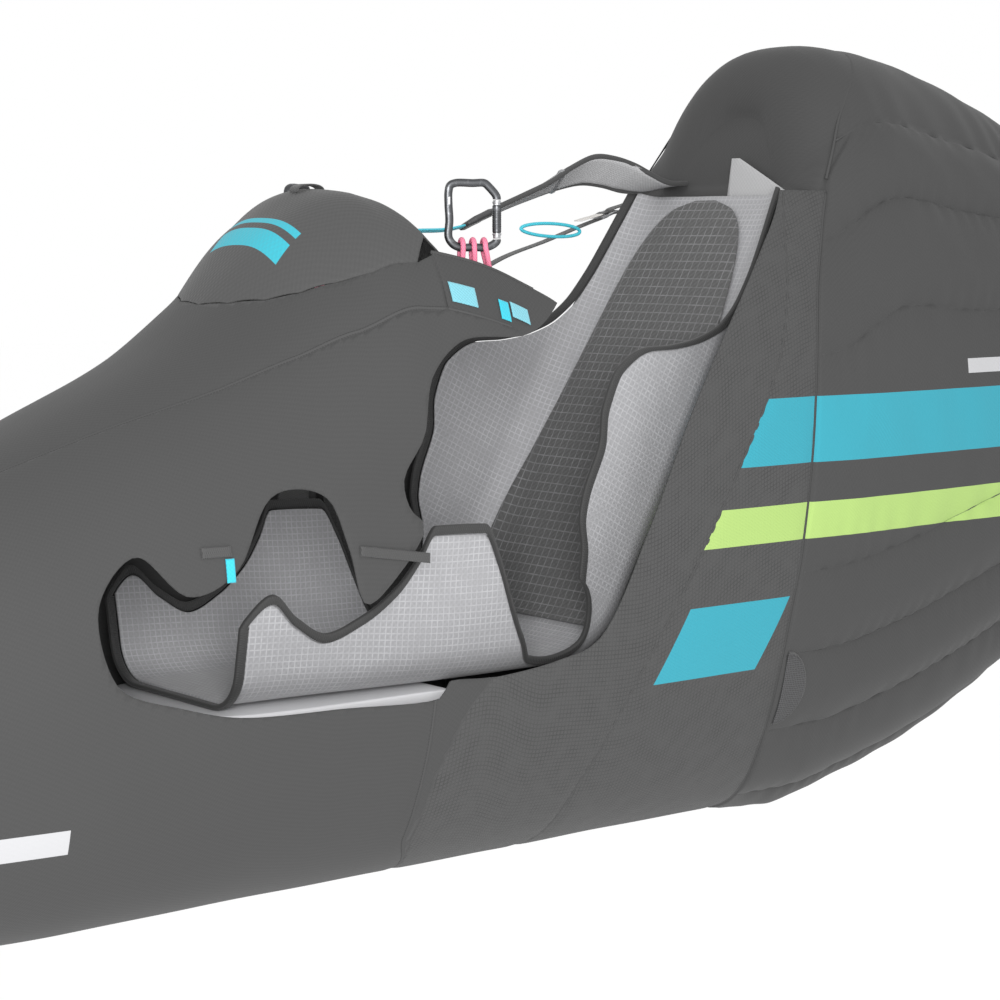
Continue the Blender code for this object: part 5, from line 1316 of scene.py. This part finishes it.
def build_trim(cyan, dark):
    """Tabs on the rim band, the side strap with its pull, the meshes of the air intakes and the cover's loop."""
    patch = woven("loop_tape_pale_cyan", "6aa6b2", 0.0020, tone=0.05, roughness=0.95, sheen=0.2, bump=0.8)
    plain = tape("polyamide_webbing_pod", "353535", 0.0024)
    bright = woven("grosgrain_cyan", "2fa6b8", 0.0024, tone=0.03, roughness=0.8, bump=0.5)
    for name, a, b, low, high, look, lift in (("rim_patch_front", -0.1615, -0.1285, 0.057, 0.034, patch, 0.0010),
                                              ("rim_tab", -0.0963, -0.0816, 0.061, 0.038, bright, 0.0010),
                                              ("rim_patch_rear", -0.0785, -0.0520, 0.054, 0.036, patch, 0.0016)):
        x = np.linspace(a, b, 26)
        top = curve(RIM, x)
        side_patch("patch_" + name, x, top - low, top - high, lift, 0.0014, look, name)
    x = np.linspace(-0.508, -0.472, 22)
    side_patch("strap_side_front", x, x * 0 + 0.437, x * 0 + 0.449, 0.0005, WEBBING, plain, "side_strap_front")
    x = np.linspace(-0.312, -0.216, 40)
    low = 0.411 + (x + 0.216) * -0.16
    side_patch("strap_side_rear", x, low, low + 0.012, 0.0010, WEBBING, plain, "side_strap_rear")
    x = np.linspace(-0.481, -0.470, 12)
    side_patch("pull_side", x, x * 0 + 0.409, x * 0 + 0.4355, 0.0008, 0.002, bright, "side_pull")
    mesh = intake_mesh()
    for name, far in (("near", False), ("far", True)):
        share = np.sin(np.linspace(0, 0.93, 26) * math.pi / 2)
        half = 0.048 * np.sqrt(np.clip(1 - share ** 2, 0, 1))
        cross = np.linspace(-1, 1, 31)
        z = INTAKE_Z + half[:, None] * cross
        grid_x = curve(SEAM_TAIL, z) + 0.0065 + 0.036 * share[:, None]
        turn = hull_turn(grid_x, z)
        p = fairing_point(grid_x, turn) + outward(fairing_point, grid_x, turn) * 0.0028
        if far:
            p = p * (1, -1, 1)
        rows = joined_grid(p, grid_x, z)
        faces = grid_faces(*grid_x.shape)
        obj = make_object("mesh_intake_" + name, rows, faces[:, ::-1] if far else faces)
        thicken(obj, 0.0016)
        dress(obj, mesh, node="intake_mesh_" + name)
        a = np.linspace(-math.pi / 2, math.pi / 2, 90)
        z = INTAKE_Z + 0.0485 * np.sin(a)
        line_x = curve(SEAM_TAIL, z) + 0.0070 + 0.0365 * np.cos(a)
        turn = hull_turn(line_x, z)
        strip_on("edge_intake_" + name, fairing_point, line_x, 2 * math.pi - turn if far else turn, 0.004, 0.0032,
                 dark)
    a = np.linspace(0, math.pi, 40)
    loop = np.stack([-0.2143 - 0.0190 * np.cos(a), 0 * a, 0.8385 + 0.0095 * np.sin(a) ** 0.6], 1)
    rows, faces = sweep(loop, (0, 1, 0), webbing_profile(0.020, 0.0022))
    dress(turned_out(make_object("loop_cover_top", rows, faces)), dark)


def intake_mesh():
    """Dark knitted mesh over the air intake: grey yarn, hexagon-like holes drawn at 2.8 mm in painted shade of the
    opening.
    """
    look, tree, out = new_material("knitted_mesh_painted_shade_holes")
    uv = add(tree, "ShaderNodeUVMap", uv_map="cloth")
    cells = add(tree, "ShaderNodeTexVoronoi", {"Vector": uv.outputs[0], "Scale": 1 / 0.0028, "Randomness": 0.15})
    hole = add(tree, "ShaderNodeMapRange", {0: cells.outputs["Distance"], 1: 0.25, 2: 0.42, 3: 0.0, 4: 1.0}).outputs[0]
    # Painted shade: the hole centres get the darker colour, standing for the shaded opening behind the mesh; the paler
    # grey is the yarn.
    base = add(tree, "ShaderNodeMix", {0: hole, 6: linear("2c2c2c"), 7: linear("444445")}, data_type="RGBA").outputs[2]
    bump = add(tree, "ShaderNodeBump", {"Height": hole, "Strength": 0.7, "Distance": 0.0006})
    shader = add(tree, "ShaderNodeBsdfPrincipled", {"Base Color": base, "Roughness": 0.9, "Normal": bump.outputs[0]})
    tree.links.new(shader.outputs[0], out.inputs[0])
    return look


# Stage

def build_stage():
    """Pale floor far below the hanging harness, white surroundings, two soft lights and the photograph's camera."""
    floor_mesh = bpy.data.meshes.new("stage_floor")
    size = 40.0
    floor_mesh.from_pydata([(-size, -size, 0), (size, -size, 0), (size, size, 0), (-size, size, 0)], [], [(0, 1, 2, 3)])
    floor = bpy.data.objects.new("stage_floor", floor_mesh)
    bpy.context.scene.collection.objects.link(floor)
    look, tree, out = new_material("matt_studio_floor")
    shader = add(tree, "ShaderNodeBsdfPrincipled", {"Base Color": (1.0, 1.0, 1.0, 1.0), "Roughness": 1.0})
    tree.links.new(shader.outputs[0], out.inputs[0])
    floor_mesh.materials.append(look)
    floor.location.z = FLOOR_Z

    world = bpy.data.worlds.new("studio")
    world.use_nodes = True
    world.node_tree.nodes["Background"].inputs[0].default_value = (1.0, 1.0, 1.0, 1.0)
    world.node_tree.nodes["Background"].inputs[1].default_value = WORLD_LIGHT
    bpy.context.scene.world = world
    for name, place, aim, size, power in (("key", (-1.95, -2.65, 0.98), (0.1, 0.0, 0.5), 1.1, KEY_WATTS),
                                          ("fill", (1.2, -3.6, 2.2), (0.5, 0.0, 0.5), 2.2, FILL_WATTS)):
        lamp = bpy.data.lights.new(name, "AREA")
        lamp.shape = "DISK"
        lamp.size = size
        lamp.energy = power
        obj = bpy.data.objects.new(name, lamp)
        bpy.context.scene.collection.objects.link(obj)
        obj.location = place
        direction = np.array(aim) - np.array(place)
        heading = math.atan2(direction[0], direction[1])
        tilt = math.atan2(direction[2], math.hypot(direction[0], direction[1]))
        obj.rotation_euler = (math.pi / 2 + tilt, 0.0, -heading)

    lens = bpy.data.cameras.new("camera")
    lens.lens = CAMERA_LENS
    lens.sensor_width = 36.0
    camera = bpy.data.objects.new("camera", lens)
    bpy.context.scene.collection.objects.link(camera)
    camera.location = CAMERA_PLACE
    camera.rotation_euler = (math.pi / 2 - CAMERA_TILT, 0.0, -CAMERA_HEADING)
    lens.clip_start = 0.05
    lens.clip_end = 200.0
    bpy.context.scene.camera = camera
    bpy.context.scene.view_settings.view_transform = "Standard"


build_panels()
build_seams(seam_tape("felled_seam_ripstop", "383838"), seam_tape("felled_seam_taffeta", "383838"))
build_cover()
build_fairing()
build_fairing_seams(seam_tape("felled_seam_spinnaker", "373737"))
build_seat()
dark_web = tape("polyamide_webbing_dark", "3b3b3b", 0.0024)
cyan_web = tape("polyamide_webbing_cyan", "45b5c6", 0.0024)
pale_web = tape("polyamide_webbing_raw", "cbc8c4", 0.0024)
dark_metal = anodised("anodised_aluminium_dark", "4a4b4d", 0.38)
pale_metal = anodised("anodised_aluminium_pale", "a9aaac", 0.32)
build_straps(dark_web, cyan_web, pale_web, pale_metal, moulded("moulded_polyamide_black", "3a3a3b", 0.45))
for side, name in ((-1, "near"), (1, "far")):
    build_carabiner(side, name, (dark_metal, pale_metal, braid("braided_cord_pink_" + name, "d0708a"), dark_web))
build_trim(cyan_web, dark_web)
build_stage()

bpy.context.view_layer.update()
